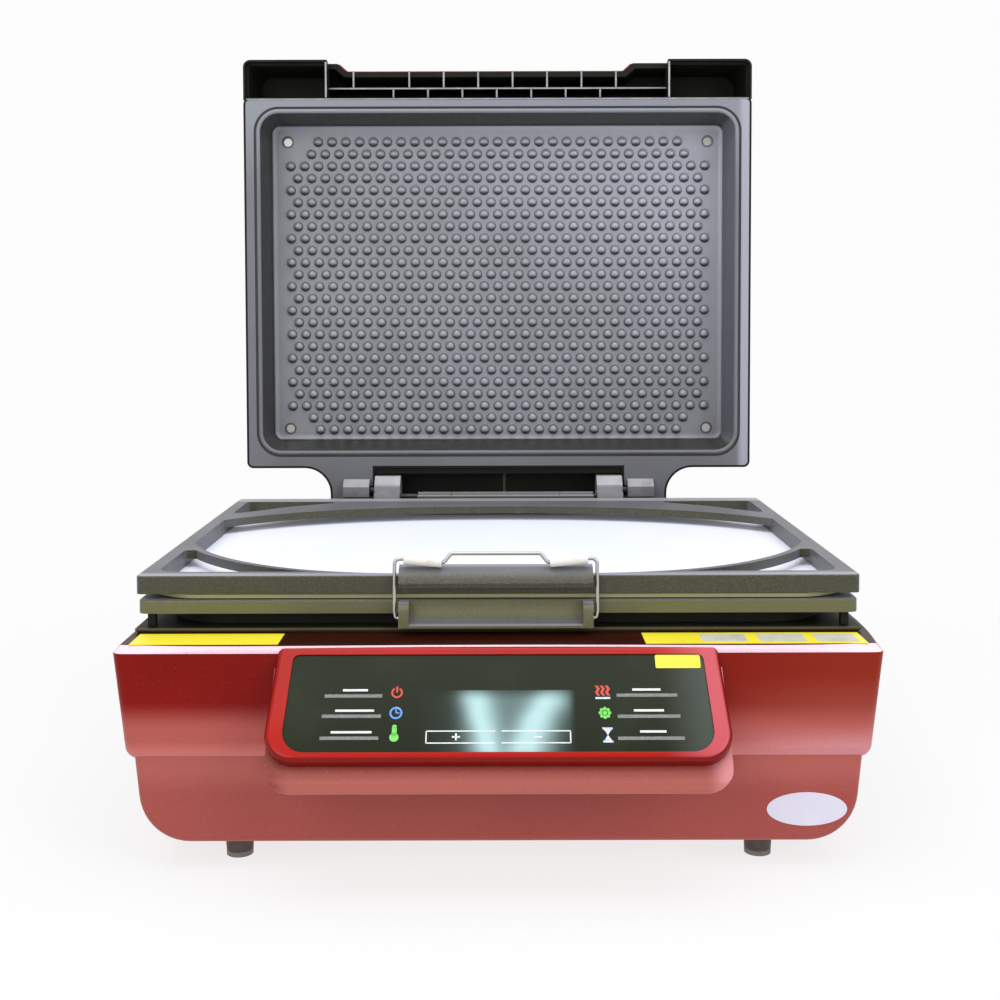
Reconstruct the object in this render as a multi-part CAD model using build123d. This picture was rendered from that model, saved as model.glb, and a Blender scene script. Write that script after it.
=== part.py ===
from build123d import *
import math
import os

# Millimetres. X runs to the right, Y to the back, Z up. The origin lies on the table
# under the middle of the machine, which stands with its lid open.

# ---- places that everything else hangs on
frame_front = -191.0       # front edge of the film frames
frame_top = 190.0          # top face of the upper film frame
deck_z = 151.5             # top of the red deck
seam_z = 73.5              # bottom edge of the upper housing
floor_z = 17.7             # underside of the lower housing
housing_front = -229.0
housing_rear = 229.0
lid_axis_y = 198.25
lid_axis_z = 194.25
fit_gap = 0.3              # between pieces that only lie beside each other
seat_gap = 0.05            # between a piece and the seat that it is fixed to
running_gap = 0.05         # radial play of a pin in the piece that turns on it

# ---- housing
wall = 2.8
deck_half_width = 252.8
upper_draft = 6.0          # how far the upper housing narrows from deck to seam
corner_margin = 1.0        # upright corners over the rounding of the edges they meet
deck_round = 5.5           # bevel along the edge of the deck
seam_round = 9.0
lower_half_width = 240.6
lower_draft = 5.5
lower_round = 34.0         # sweep from the side walls into the floor
lower_edge_round = 5.0
lower_setback = 8.0        # front of the lower housing behind the front of the deck
lower_lip = 6.0            # the lower wall that stands inside the upper housing
foot_x = 176.5
foot_y = 192.5
foot_radius = 10.0
foot_pad_radius = 9.0
foot_pad_height = 3.2
foot_screw_radius = 2.0

# ---- console
console_top = 1.5          # top edge below the deck
console_slope_y = 50.0     # how far the sloped face runs forward
console_slope_z = 57.0     # and down
console_half_top = 143.1
console_half_bottom = 147.6
console_skirt = 22.0       # upright height of the skirt below the bezel
console_wall = 2.5
console_corner = 19.0
bezel_thickness = 9.0
bezel_round = 4.0
bezel_lead = 2.5           # its top edge runs up over the deck's bevel
glass_half_top = 132.6
glass_half_bottom = 135.4
glass_top_margin = 4.5
glass_bottom_margin = 5.5
glass_corner = 14.0
glass_thickness = 3.0
glass_recess = 1.0
bezel_lip = 3.0
board_thickness = 1.6
board_half_width = 120.0
board_top = 11.0           # down the slope from its top edge
board_bottom = 62.0
display_height = 6.0
display_half_width = 60.0

# ---- stickers
label_thickness = 0.2
deck_label_front = 3.5     # behind the front edge of the deck
deck_label_depth = 29.0
left_label = (-241.5, -144.0)
right_label = (96.5, 242.0)
small_label_x = 116.0
small_label_width = 29.0
small_label_height = 9.3
badge_x = 203.5
badge_z = 40.0
badge_half_width = 26.5
badge_half_height = 11.2

# ---- base plate, seal and chamber
plate_side_lap = 0.2       # past the edges of the film frames
plate_front_overhang = 2.0
plate_rear_setback = 2.0   # from the rear edge of the film frames
plate_thickness = 2.9
plate_bevel = 1.6
chamber_width = 424.0
chamber_depth = 304.0
chamber_corner = 22.0
chamber_drop = 61.0
chamber_flange = 8.0
chamber_sheet = 2.0
seal_inset = 14.0
seal_width = 9.0
seal_corner = 46.0
post_size = 5.2
post_inset = 9.0
platform_width = 402.0
platform_depth = 286.0
platform_corner = 16.0
platform_thickness = 3.0
platform_lift = 14.0
platform_hole = 3.0
platform_columns = 11
platform_rows = 8
platform_pitch = 34.0
spacer_radius = 5.0

# ---- film frames
frame_width = 491.6
frame_depth = 365.0
frame_corner = 4.0
frame_edge_round = 1.2
upper_thickness = 12.5
film_gap = 4.4             # between the two frames, filled by the rim of the film
lower_thickness = 9.2
lower_frame_inset = 1.0
side_rail = 11.0
front_rail = 14.0
rear_rail = 21.0
# the windows: shares of half the width inside the rails, and of the depth from the front
window_front = 0.0164
window_front_elbow = (0.572, 0.0575)
window_front_knee = (0.832, 0.1753)
window_front_side = 0.3507
window_rear_side = 0.652
window_rear_knee = (0.731, 0.7712)
window_rear_elbow = (0.402, 0.8356)
window_rear = 0.8562
web_thickness = 6.5        # of the ring round the windows, inside the rails
window_web = 5.5           # between the window and the front corner windows
front_corner_end = 0.263
front_corner_round = 13.0
rear_corner_start = 0.745
rear_corner_knee = (0.812, 0.8575)
rear_corner_tip = (0.611, 0.937)
rear_corner_low = 0.9425
corner_window_round = 4.0
lower_window_rail = 24.0
lower_window_corner = 30.0
film_inset = 3.0
film_corner = 38.0
film_rim = 8.0
film_thickness = 1.2

# ---- latch
latch_x = -1.5
tab_half_width = 65.5
tab_rise = 7.0             # ridge of the upper tab above the frame
tab_reach = 11.0
tab_drop = 5.0
tab_thickness = 3.2
lower_tab_reach = 12.0
lower_tab_height = 16.6
tab_root = 8.0             # where the tab meets the frame, behind its front edge
tab_ridge_back = 3.0
tab_bend = 1.6             # bulge of the tab's curved lip
lower_tab_round = 5.0
scoop_radius = 13.0
scoop_forward = 14.0
scoop_below = 2.1
scoop_end = 7.0
wire_radius = 1.25
bail_half_width = 68.4
bail_axis_y = 8.0          # in front of the frames
bail_axis_z = 27.5         # below the top of the upper frame
bail_seat_y = 3.0          # the cross wire, in front of the frames
bail_seat_z = 10.5         # and above them
bail_pivot_depth = 5.0
bail_shoulder = 5.0
sleeve_radius = 3.4
sleeve_length = 25.6
sleeve_end_gap = 1.3       # straight wire left beyond each end of a sleeve
bail_tilt = 1.3            # fall of each sleeve towards the loop
loop_rise = 4.8
loop_run = 5.0

# ---- hinges
film_axis_back = 15.0      # behind the film frames, level with their top
film_pin_radius = 2.5
barrel_radius = 4.0
leaf_x = 6.8               # the film hinge stands a little to the right
leaf_half_width = 84.0
leaf_thickness = 3.0
leaf_rise = 1.8            # above the hinge pin's middle
leaf_split = 52.0          # between the outer lugs and the middle leaf
leaf_screw_x = 32.0
leaf_screw_radius = 2.0
leaf_screw_depth = 9.0
knuckle_gap = 1.0
block_inner = 94.5
block_outer = 119.0
block_radius = 15.9
neck_front = 3.0           # behind the film frames
neck_depth = 17.0
bracket_foot = 4.0
bracket_foot_depth = 11.0
bracket_screw_radius = 1.8
bracket_screw_x = 6.0      # to each side of the bracket's middle
pin_cover = 3.0            # block left beyond the end of a pin
lid_pin_radius = 4.0
pin_slot_gap = 1.0
block_groove = 0.7
boss_inner = 124.5
boss_outer = 149.5
boss_radius = 12.6

# ---- lid, standing open
lid_plane = 2.15           # face of the plate in front of the hinge axis
lid_plate_width = 482.0
lid_plate_height = 351.4
lid_plate_lift = 24.25     # bottom edge of the plate above the hinge axis
lid_plate_thickness = 3.0
lid_plate_corner = 4.0
ear_half_width = 160.5
ear_drop = 16.3            # below the hinge axis
ear_fillet = 25.0
hinge_window = 119.8       # half width of the gap between the ears
rim_width = 2.0
rim_depth = 7.0
ledge_width = 3.6          # how far the liner reaches in behind the rim
ledge_thickness = 2.0
liner_wall = 2.0
nose_gap = 0.4             # between the nose's liner and the shell
nose_length = 38.1         # from the plate to the outside of the liner
nose_notch = 8.0
nose_notch_left = -145.0
nose_notch_right = 121.0
nose_notch_slope = 9.0
nose_depth = 46.0
lid_depth = 82.0
lid_draft = 9.0            # how far the shell narrows from rim to crown
lid_wall = 2.2
lid_corner = 7.0
crown_corner = 26.0
crown_round = 16.0
hinge_cover_depth = 60.0
pocket_depth = 26.0
pocket_rib_x = 5.7
lip_height = 8.0
rib = 1.6
rib_setback = 16.0
full_rib_x = 164.0
cross_rib_z = 13.2         # above the plate's top edge
outer_rib_first = -139.2
outer_rib_start = -85.3
outer_ribs = 7
plate_rib_start = -100.6
plate_ribs = 7
rib_pitch = 33.3
tray_width = 466.9
tray_height = 336.3
tray_lift = 176.9          # centre above the plate's bottom edge
tray_floor_width = 457.3
tray_floor_height = 322.3
tray_depth = 40.4
tray_corner = 24.0
tray_floor_corner = 14.0
tray_sheet = 1.5
tray_wall = 3.0            # slant wall of the tray
tray_fillet = 6.0          # where its wall meets its floor
field_drop = 2.5           # the screws and domes sit this far below the tray's middle
tray_flange = 2.4
tray_edge_drop = 0.6       # the tray's lip stands this far behind the plate's face
tray_lip = 6.0             # rounded edge of the tray that shows in the plate's opening
screw_inset_x = 21.6       # from the corner of the tray's floor
screw_inset_z = 19.4
screw_cup_radius = 6.0
screw_cup_depth = 4.0
tray_screw_radius = 2.0
lid_post_radius = 5.0
element_radius = 4.0
element_runs = 6
element_half_width = 178.0
element_pitch = 44.0
insulation_thickness = 12.0
insulation_margin = 6.0
cover_sheet = 1.0
cutout_radius = 8.0
cutout_height = 6.0
bumper_radius = 7.0
bumper_x = 140.0
bumper_y = 13.0            # behind the hinge axis

# ---- inside the base
standoff = 5.0
standoff_radius = 3.0
post_radius = 5.0          # posts from the deck down to the floor
post_places = ((-100.0, -200.0), (100.0, -200.0), (-60.0, 200.0), (60.0, 200.0))
post_screw_radius = 2.0
post_bore = 20.0
post_screw_reach = 14.0
vent_slots = 9
vent_span = 128.0
vent_width = 4.0
vent_front = -120.0
vent_length = 60.0
fan_size = 50.0
fan_depth = 15.0
fan_x = -150.0
fan_height = 32.0          # centre above the underside of the housing
fan_blades = 7
fan_hub_radius = 11.0
fan_tip_gap = 1.0
fan_shaft_radius = 1.5
fan_wall = 2.0
fan_spoke = 3.0
fan_blade_width = 1.4
fan_blade_pitch = 35.0     # degrees
pump_x = -95.0
pump_y = 20.0
pump_motor_radius = 25.0
pump_motor_length = 78.0
pump_axis_height = 34.0
pump_head_width = 46.0
pump_head_side = 52.0
pump_shaft_radius = 3.0
pump_wall = 2.5
pump_core_radius = 16.0
pump_core_end = 12.0       # core stops short of the motor's ends
pump_cam_radius = 7.0
pump_cam_offset = 3.0
pump_cam_width = 14.0
pump_cavity_radius = 15.0
pump_base_thickness = 4.0
mount_radius = 6.0
port_x = 60.0
port_y = 20.0
port_radius = 4.0
port_bore = 2.5
port_drop = 10.0
port_flange = 8.0
hose_wall = 1.5
hose_bend = 10.0
valve_size = 24.0
valve_x = 110.0
valve_y = 20.0
valve_height = 16.0
coil_radius = 9.0
coil_length = 20.0
main_board_width = 130.0
main_board_depth = 90.0
main_board_x = 120.0
main_board_y = -70.0
main_board_inset = 6.0
heat_sink_height = 30.0
heat_sink_fins = 7
heat_sink_depth = 26.0
heat_sink_base = 5.0
board_margin = 10.0        # from the board's edges to its parts
terminal_size = 10.0
terminal_pitch = 12.0
terminal_height = 11.0
capacitor_radius = 8.0
capacitor_height = 26.0
transformer_x = -110.0
transformer_y = -105.0
transformer_width = 56.0
transformer_depth = 44.0
transformer_height = 46.0
transformer_gap = 8.0
transformer_yoke = 16.0
relay_x = -20.0
relay_y = -105.0
relay_width = 45.0
relay_depth = 58.0
relay_height = 24.0
inlet_x = 150.0
inlet_width = 27.0
inlet_height = 20.0
switch_x = 112.0
switch_width = 13.0
switch_height = 20.0
rocker_throw = 20.0        # degrees from off to on
rocker_set_in = 4.0        # its pivot inside the rear wall's face
rocker_front = 6.0
rocker_back = 3.5
rocker_half_height = 6.6
rocker_dip = 0.8
rocker_gap = 0.4
rocker_pin_radius = 1.0
socket_flange = 2.5
socket_lip = 1.6
socket_depth = 20.0
socket_wall = 2.0
inlet_pin_spread = 7.0
fuse_x = 185.0
fuse_radius = 6.0
socket_height = 30.0       # centre above the underside of the housing

# ---- worked out from the sizes above
plate_half_width = frame_width / 2 + plate_side_lap
frame_mid = frame_front + frame_depth / 2
frame_rear = frame_front + frame_depth
film_top = frame_top - upper_thickness
lower_frame_top = film_top - film_gap
lower_frame_bottom = lower_frame_top - lower_thickness
plate_top = deck_z + plate_thickness
film_axis_y = frame_rear + film_axis_back
film_axis_z = frame_top
lid_face = lid_axis_y - lid_plane
lid_bottom = lid_axis_z + lid_plate_lift
lid_top = lid_bottom + lid_plate_height
lid_back = lid_face + lid_depth
inner_floor = floor_z + wall
lower_front = housing_front + lower_setback
lower_rear = housing_rear - lower_setback
seal_height = lower_frame_bottom - fit_gap - plate_top
chamber_floor = deck_z - chamber_drop
socket_z = floor_z + socket_height
rocker_y = lower_rear - rocker_set_in
lid_half = lid_plate_width / 2 + rim_width
nose_top = lid_top + nose_length
ear_low = lid_axis_z - ear_drop
tray_mid = lid_bottom + tray_lift
tray_back = lid_face + tray_depth
console_face = math.hypot(console_slope_y, console_slope_z)
console_top_z = deck_z - console_top
pivot_y = frame_front - bail_axis_y
pivot_z = frame_top - bail_axis_z
seat_rise = bail_seat_z + bail_axis_z
seat_back = bail_axis_y - bail_seat_y
bail_length = math.hypot(seat_rise, seat_back)
bail_lean = math.degrees(math.atan2(seat_back, seat_rise))
element_back = tray_back + tray_sheet + 2 * (fit_gap + element_radius)


def block(x0, x1, y0, y1, z0, z1):
    """A block between two corners."""
    middle = Pos((x0 + x1) / 2, (y0 + y1) / 2, (z0 + z1) / 2)
    return middle * Box(abs(x1 - x0), abs(y1 - y0), abs(z1 - z0))


def slab(width, depth, corner, z0, z1, x=0.0, y=0.0):
    """A level slab with rounded upright corners."""
    return Pos(x, y, z0) * extrude(RectangleRounded(width, depth, corner), z1 - z0)


def upright(shape, y0, y1):
    """A front-view shape, drawn in X and Z, made solid from y0 back to y1."""
    return Pos(0, y1, 0) * Rot(90, 0, 0) * extrude(shape, y1 - y0)


def sideways(shape, x0, x1):
    """A side-view shape, drawn in Y and Z, made solid from x0 to x1."""
    plane = Plane(origin=(x0, 0, 0), x_dir=(0, 1, 0), z_dir=(1, 0, 0))
    return extrude(plane * shape, x1 - x0)


def rod_x(radius, x0, x1, y, z):
    return Pos((x0 + x1) / 2, y, z) * Rot(0, 90, 0) * Cylinder(radius, abs(x1 - x0))


def rod_y(radius, y0, y1, x, z):
    return Pos(x, (y0 + y1) / 2, z) * Rot(90, 0, 0) * Cylinder(radius, abs(y1 - y0))


def rod_z(radius, z0, z1, x, y):
    return Pos(x, y, (z0 + z1) / 2) * Cylinder(radius, abs(z1 - z0))


def octagon_x(radius, x0, x1, y, z):
    """An eight-sided bar along X with a flat front and top. The radius reaches its corners."""
    turns = [math.radians(22.5 + 45 * i) for i in range(8)]
    return sideways(outline([(y + radius * math.cos(a), z + radius * math.sin(a)) for a in turns]), x0, x1)


def outline(points):
    """A closed straight-sided sketch."""
    return make_face(Polyline(*points, close=True))


def mirrored(shape):
    """A piece and its mirror image across the middle of the machine."""
    return [shape, mirror(shape, about=Plane.YZ)]


def group(pieces):
    """Several loose solids that share one node."""
    return Compound(children=[s for p in pieces for s in p.solids()])


# ---------------------------------------------------------------- housing
def lower_outline(grow=0.0, top=seam_z + lower_lip):
    """Front view of the lower housing: drafted sides that sweep into the floor."""
    slope = lower_draft / (seam_z - floor_z)
    bottom = floor_z - grow
    top_half = lower_half_width + grow + slope * (top - seam_z)
    bottom_half = lower_half_width + grow - slope * (seam_z - bottom)
    shape = outline([(-top_half, top), (-bottom_half, bottom), (bottom_half, bottom), (top_half, top)])
    corners = shape.vertices().group_by(Axis.Y)[0]
    return fillet(corners, lower_round + grow)


def lower_block(grow=0.0, top=seam_z + lower_lip):
    """The lower housing as one lump, grown or shrunk all round."""
    body = upright(lower_outline(grow, top), lower_front - grow, lower_rear + grow)
    rims = [e for e in body.edges() if e.bounding_box().size.Y < 0.01 and e.center().Z < top - 0.01]
    return fillet(rims, lower_edge_round + min(grow, 0))


def rear_slots(x, z, size, count=6):
    """Upright cooling slots through the rear wall."""
    pitch = size / count
    width = 0.5 * pitch
    slots = []
    for i in range(count):
        middle = x + (i - (count - 1) / 2) * pitch
        reach = math.sqrt(max((0.46 * size) ** 2 - (middle - x) ** 2, (0.2 * size) ** 2))
        slots.append(block(middle - width / 2, middle + width / 2, lower_rear - 3 * wall,
                           lower_rear + 1, z - reach, z + reach))
    return slots


def lower_housing():
    body = lower_block() - lower_block(-wall, seam_z + lower_lip + 1)
    cuts = rear_slots(fan_x, floor_z + fan_height, fan_size)
    cuts += [socket_hole(inlet_x, inlet_width, inlet_height), socket_hole(switch_x, switch_width, switch_height)]
    cuts.append(rod_y(fuse_radius + seat_gap, lower_rear - 3 * wall, lower_rear + 1, fuse_x, socket_z))
    for x, y in foot_places():
        cuts.append(rod_z(foot_screw_radius + seat_gap, floor_z - 1, inner_floor + 1, x, y))
    for x, y in post_places:
        cuts.append(rod_z(post_screw_radius + seat_gap, floor_z - 1, inner_floor + 1, x, y))
    for i in range(vent_slots):
        x = -vent_span / 2 + i * vent_span / (vent_slots - 1)
        cuts.append(block(x - vent_width / 2, x + vent_width / 2, vent_front, vent_front + vent_length,
                          floor_z - 1, inner_floor + 1))
    return body - cuts


def socket_hole(x, width, height):
    """The hole in the rear wall for a switch or an inlet."""
    half = width / 2 + seat_gap
    tall = height / 2 + seat_gap
    return block(x - half, x + half, lower_rear - 3 * wall, lower_rear + 1, socket_z - tall, socket_z + tall)


def foot_places():
    return [(sx * foot_x, sy * foot_y) for sx in (-1, 1) for sy in (-1, 1)]


def feet():
    """Rubber feet, each with a hollow for its pad and a hole for its screw."""
    pieces = []
    for x, y in foot_places():
        height = floor_z - foot_pad_height
        foot = Pos(x, y, floor_z - height / 2) * Cone(foot_pad_radius, foot_radius, height)
        pieces.append(foot - rod_z(foot_screw_radius + seat_gap, 0, floor_z + 1, x, y))
    return group(pieces)


def foot_pads():
    return group([rod_z(foot_pad_radius, 0, foot_pad_height, x, y) for x, y in foot_places()])


def foot_screws():
    """Screws that come down through the housing floor into the feet."""
    pieces = []
    for x, y in foot_places():
        head = rod_z(2 * foot_screw_radius, inner_floor, inner_floor + foot_screw_radius, x, y)
        pieces.append(head + rod_z(foot_screw_radius, foot_pad_height + 1, inner_floor, x, y))
    return group(pieces)


def upper_block(shrink=0.0, bottom=seam_z, top=deck_z, rounds=True):
    """The upper housing as one lump, shrunk all round, narrowing downwards."""
    slope = upper_draft / (deck_z - seam_z)
    middle = (housing_front + housing_rear) / 2
    depth = housing_rear - housing_front
    rings = []
    for z, corner in ((bottom, seam_round + corner_margin), (top, deck_round + corner_margin)):
        less = 2 * (shrink + slope * (deck_z - z))
        ring = RectangleRounded(2 * deck_half_width - less, depth - less, corner - shrink / 2)
        rings.append(Pos(0, middle, z) * ring)
    body = loft(rings)
    if rounds:
        body = chamfer(body.edges().group_by(Axis.Z)[-1], deck_round)
        body = fillet(body.edges().group_by(Axis.Z)[0], seam_round)
    return body


def upper_housing():
    """The red cover: a deck and four drafted walls that roll under at the seam."""
    body = upper_block()
    body -= upper_block(wall, seam_z + wall, deck_z - wall, rounds=False)
    body -= lower_block(fit_gap, deck_z - 2 * wall)
    opening = chamber_width + 2 * (chamber_flange + seat_gap)
    cross = chamber_depth + 2 * (chamber_flange + seat_gap)
    body -= slab(opening, cross, chamber_corner + chamber_flange, deck_z - 2 * wall, deck_z + 1, 0, frame_mid)
    for x, y in bracket_screw_places():
        body -= rod_z(bracket_screw_radius + seat_gap, deck_z - 2 * wall, deck_z + 1, x, y)
    return body + housing_posts() - console_window()


# ---------------------------------------------------------------- console
def on_slope(shape, depth=0.0):
    """Carries a shape drawn flat onto the sloped face, its Y running up the slope."""
    top_edge = Plane(origin=(0, housing_front, console_top_z), x_dir=(1, 0, 0),
                     z_dir=(0, -console_slope_z / console_face, console_slope_y / console_face))
    return top_edge * Pos(0, 0, -depth) * shape


def slope_panel(half_top, half_bottom, top, bottom, corner, thickness, top_corner=None):
    """A plate on the sloped face, with its lower corners rounded and its face on the slope."""
    shape = outline([(-half_top, -top), (-half_bottom, -bottom), (half_bottom, -bottom), (half_top, -top)])
    shape = fillet(shape.vertices().group_by(Axis.Y)[0], corner)
    if top_corner:
        shape = fillet(shape.vertices().group_by(Axis.Y)[-1], top_corner)
    return Pos(0, 0, -thickness) * extrude(shape, thickness)


def glass_panel(grow=0.0, thickness=glass_thickness):
    return slope_panel(glass_half_top + grow, glass_half_bottom + grow, glass_top_margin - grow,
                       console_face - glass_bottom_margin + grow, glass_corner + grow, thickness,
                       glass_corner / 3 + grow)


def housing_clearance():
    """The space that the two housings and a little air take up."""
    return upper_block(-fit_gap) + lower_block(fit_gap)


def console_bezel():
    """A round-edged frame that lies on the slope and holds the glass."""
    body = slope_panel(console_half_top, console_half_bottom, -bezel_lead, console_face, console_corner,
                       bezel_thickness, bezel_round)
    rim = body.edges().group_by(Axis.Z)[-1]
    body = fillet(rim, bezel_round)
    ledge = Pos(0, 0, -glass_recess - glass_thickness - seat_gap)
    body -= Pos(0, 0, 1) * glass_panel(seat_gap, glass_recess + glass_thickness + seat_gap + 1)
    body -= ledge * glass_panel(-bezel_lip, bezel_thickness)
    return on_slope(body) - housing_clearance()


def console_side(inset=0.0):
    """Side view of the console below its bezel."""
    down = bezel_thickness + fit_gap + inset
    normal_y = console_slope_z / console_face
    normal_z = console_slope_y / console_face
    top_y = housing_front + down * normal_y
    top_z = console_top_z - down * normal_z
    front_y = housing_front - console_slope_y + inset
    # the sloped line through the top point, followed down to the front of the skirt
    front_z = top_z - (top_y - front_y) * console_slope_z / console_slope_y
    bottom_z = console_top_z - console_slope_z - console_skirt + inset
    back_y = housing_front + 3 * lower_setback
    back_z = top_z + (back_y - top_y) * console_slope_z / console_slope_y
    roof_z = min(back_z, deck_z - wall - fit_gap)
    roof_y = top_y + (roof_z - top_z) * console_slope_y / console_slope_z
    return outline([(front_y, bottom_z), (front_y, front_z), (roof_y, roof_z), (back_y, roof_z),
                    (back_y, bottom_z)])


def console_box():
    """The hollow skirt under the bezel, open towards the housing."""
    half = console_half_bottom - fit_gap - 1.5
    slope_foot = console_top_z - console_slope_z
    body = sideways(console_side(), -half, half)
    low = [e for e in body.edges() if abs(abs(e.center().X) - half) < 0.01
           and e.bounding_box().size.Z < 0.01 and e.center().Z < slope_foot]
    body = fillet(low, console_corner - 2)
    front = [e for e in body.edges() if e.center().Y < housing_front - console_slope_y + console_corner
             and abs(e.center().Y - (housing_front - console_slope_y)) < 0.01 and e.center().Z < slope_foot]
    body = fillet(front, 3.0)
    hollow = sideways(console_side(console_wall), -half + console_wall, half - console_wall)
    inner_low = [e for e in hollow.edges() if abs(abs(e.center().X) - half + console_wall) < 0.01
                 and e.bounding_box().size.Z < 0.01 and e.center().Z < slope_foot]
    hollow = fillet(inner_low, console_corner - 2 - console_wall)
    window = on_slope(Pos(0, 0, 1) * glass_panel(-bezel_lip, bezel_thickness + 3 * console_wall))
    return body - hollow - window - housing_clearance()


def console_window():
    """The opening in the upper housing's front wall behind the console."""
    half = glass_half_bottom - console_wall
    return block(-half, half, housing_front - 1, housing_front + upper_draft + 2 * wall,
                 seam_z + 2 * seam_round, deck_z - 2 * deck_round)


def panel_glass():
    return on_slope(Pos(0, 0, -glass_recess) * glass_panel())


def display_board():
    """The lit board behind the glass, with its display block."""
    board = slope_panel(board_half_width, board_half_width, board_top, board_bottom, 2, board_thickness)
    depth = glass_recess + glass_thickness + fit_gap + display_height
    display = slope_panel(display_half_width, display_half_width, board_top + 12, board_bottom - 12, 1,
                          display_height)
    return on_slope(Pos(0, 0, -depth) * board + Pos(0, 0, -depth + display_height) * display)


def deck_labels():
    """Blank stickers: two on the deck's front strip and one small one on the glass."""
    y0 = housing_front + deck_label_front
    y1 = y0 + deck_label_depth
    pieces = [block(x0, x1, y0, y1, deck_z, deck_z + label_thickness) for x0, x1 in (left_label, right_label)]
    drop = glass_top_margin + fit_gap + small_label_height / 2
    small = Pos(small_label_x, -drop, -glass_recess) * extrude(
        RectangleRounded(small_label_width, small_label_height, 1), label_thickness)
    return group(pieces + [on_slope(small)])


def oval_badge():
    """A blank oval sticker on the front of the lower housing."""
    oval = Pos(badge_x, badge_z) * Ellipse(badge_half_width, badge_half_height)
    return upright(oval, lower_front - label_thickness, lower_front)


# ---------------------------------------------------------------- base plate and chamber
def base_plate():
    """The black sheet on the deck, with a bevelled edge and the chamber's mouth."""
    front = frame_front - plate_front_overhang
    rear = frame_rear - plate_rear_setback
    body = block(-plate_half_width, plate_half_width, front, rear, deck_z, plate_top)
    body = chamfer(body.faces().sort_by(Axis.Z)[0].edges(), plate_bevel)
    return body - slab(chamber_width, chamber_depth, chamber_corner, deck_z - 1, plate_top + 1, 0, frame_mid)


def chamber_tray():
    """The vacuum chamber: a drawn pan whose flange hangs in the deck's opening."""
    width, depth, corner = chamber_width, chamber_depth, chamber_corner
    flange = slab(width + 2 * chamber_flange, depth + 2 * chamber_flange, corner + chamber_flange,
                  deck_z - chamber_sheet, deck_z, 0, frame_mid)
    pan = slab(width + 2 * chamber_sheet, depth + 2 * chamber_sheet, corner + chamber_sheet,
               deck_z - chamber_drop - chamber_sheet, deck_z - chamber_sheet, 0, frame_mid)
    hollow = slab(width, depth, corner, deck_z - chamber_drop, deck_z + 1, 0, frame_mid)
    ports = [rod_z(port_radius + seat_gap, chamber_floor - chamber_sheet - 1, chamber_floor + 1, x, y)
             for x, y in ((port_x, port_y), (valve_x, valve_y))]
    return flange + pan - hollow - ports


def platform():
    """The perforated plate that the blanks lie on."""
    top = chamber_floor + platform_lift + platform_thickness
    body = slab(platform_width, platform_depth, platform_corner, chamber_floor + platform_lift, top, 0, frame_mid)
    holes = []
    for i in range(platform_columns):
        for j in range(platform_rows):
            x = (i - (platform_columns - 1) / 2) * platform_pitch
            y = frame_mid + (j - (platform_rows - 1) / 2) * platform_pitch
            holes.append(rod_z(platform_hole, chamber_floor + platform_lift - 1, top + 1, x, y))
    return body - holes


def platform_spacers():
    """Posts between the chamber's floor and the platform."""
    pieces = []
    for sx in (-1, 0, 1):
        for sy in (-1, 1):
            x = sx * (platform_columns // 2 - 0.5) * platform_pitch
            y = frame_mid + sy * (platform_rows / 2 - 1) * platform_pitch
            pieces.append(rod_z(spacer_radius, chamber_floor, chamber_floor + platform_lift, x, y))
    return group(pieces)


def chamber_seal():
    """The rubber ring that the film frames close on."""
    width = frame_width - 2 * seal_inset
    depth = frame_depth - 2 * seal_inset
    ring = slab(width, depth, seal_corner, plate_top, plate_top + seal_height, 0, frame_mid)
    inner = slab(width - 2 * seal_width, depth - 2 * seal_width, seal_corner - seal_width, plate_top - 1,
                 plate_top + seal_height + 1, 0, frame_mid)
    return fillet((ring - inner).edges().group_by(Axis.Z)[-1], 1.5)


def rest_posts():
    """Posts at the corners of the base plate that the frames rest on."""
    x = frame_width / 2 - post_inset
    y = frame_depth / 2 - post_inset
    places = [(sx * x, frame_mid + sy * y) for sx in (-1, 1) for sy in (-1, 1)]
    half = post_size / 2
    return group([block(px - half, px + half, py - half, py + half, plate_top, plate_top + seal_height)
                  for px, py in places])


# ---------------------------------------------------------------- film frames
def frame_places(shares):
    """Places on the upper frame from their shares of its half width and of its depth."""
    half = frame_width / 2 - side_rail
    return [(half * x, frame_front + frame_depth * y) for x, y in shares]


def frame_points(shares):
    """Such places on the right half and their mirror images, from right to left."""
    right = frame_places(shares)
    return right + [(-x, y) for x, y in reversed(right) if x > 0]


def window_shape():
    """The oval window: straight sides joined by curves over the front and the back."""
    front = front_curve()
    rear = Spline(*frame_points([(1, window_rear_side), window_rear_knee, window_rear_elbow, (0, window_rear)]))
    return make_face([front, Line(front @ 1, rear @ 1), rear, Line(rear @ 0, front @ 0)])


def front_curve():
    """Front edge of the oval window, from its right side to its left."""
    return Spline(*frame_points([(1, window_front_side), window_front_knee, window_front_elbow,
                                 (0, window_front)]))


def inside_web():
    """All that lies behind the thin web in front of the oval window, right half."""
    curve = front_curve()
    edge = []
    for t in (0, 0.08, 0.16, 0.25, 0.35, 0.5):
        place, along = curve @ t, curve % t
        edge.append((place.X - window_web * along.Y, place.Y + window_web * along.X))
    side = (edge[0][0], frame_mid)
    middle = (edge[-1][0], frame_mid)
    return make_face([Spline(*edge), Line(edge[-1], middle), Line(middle, side), Line(side, edge[0])])


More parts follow.
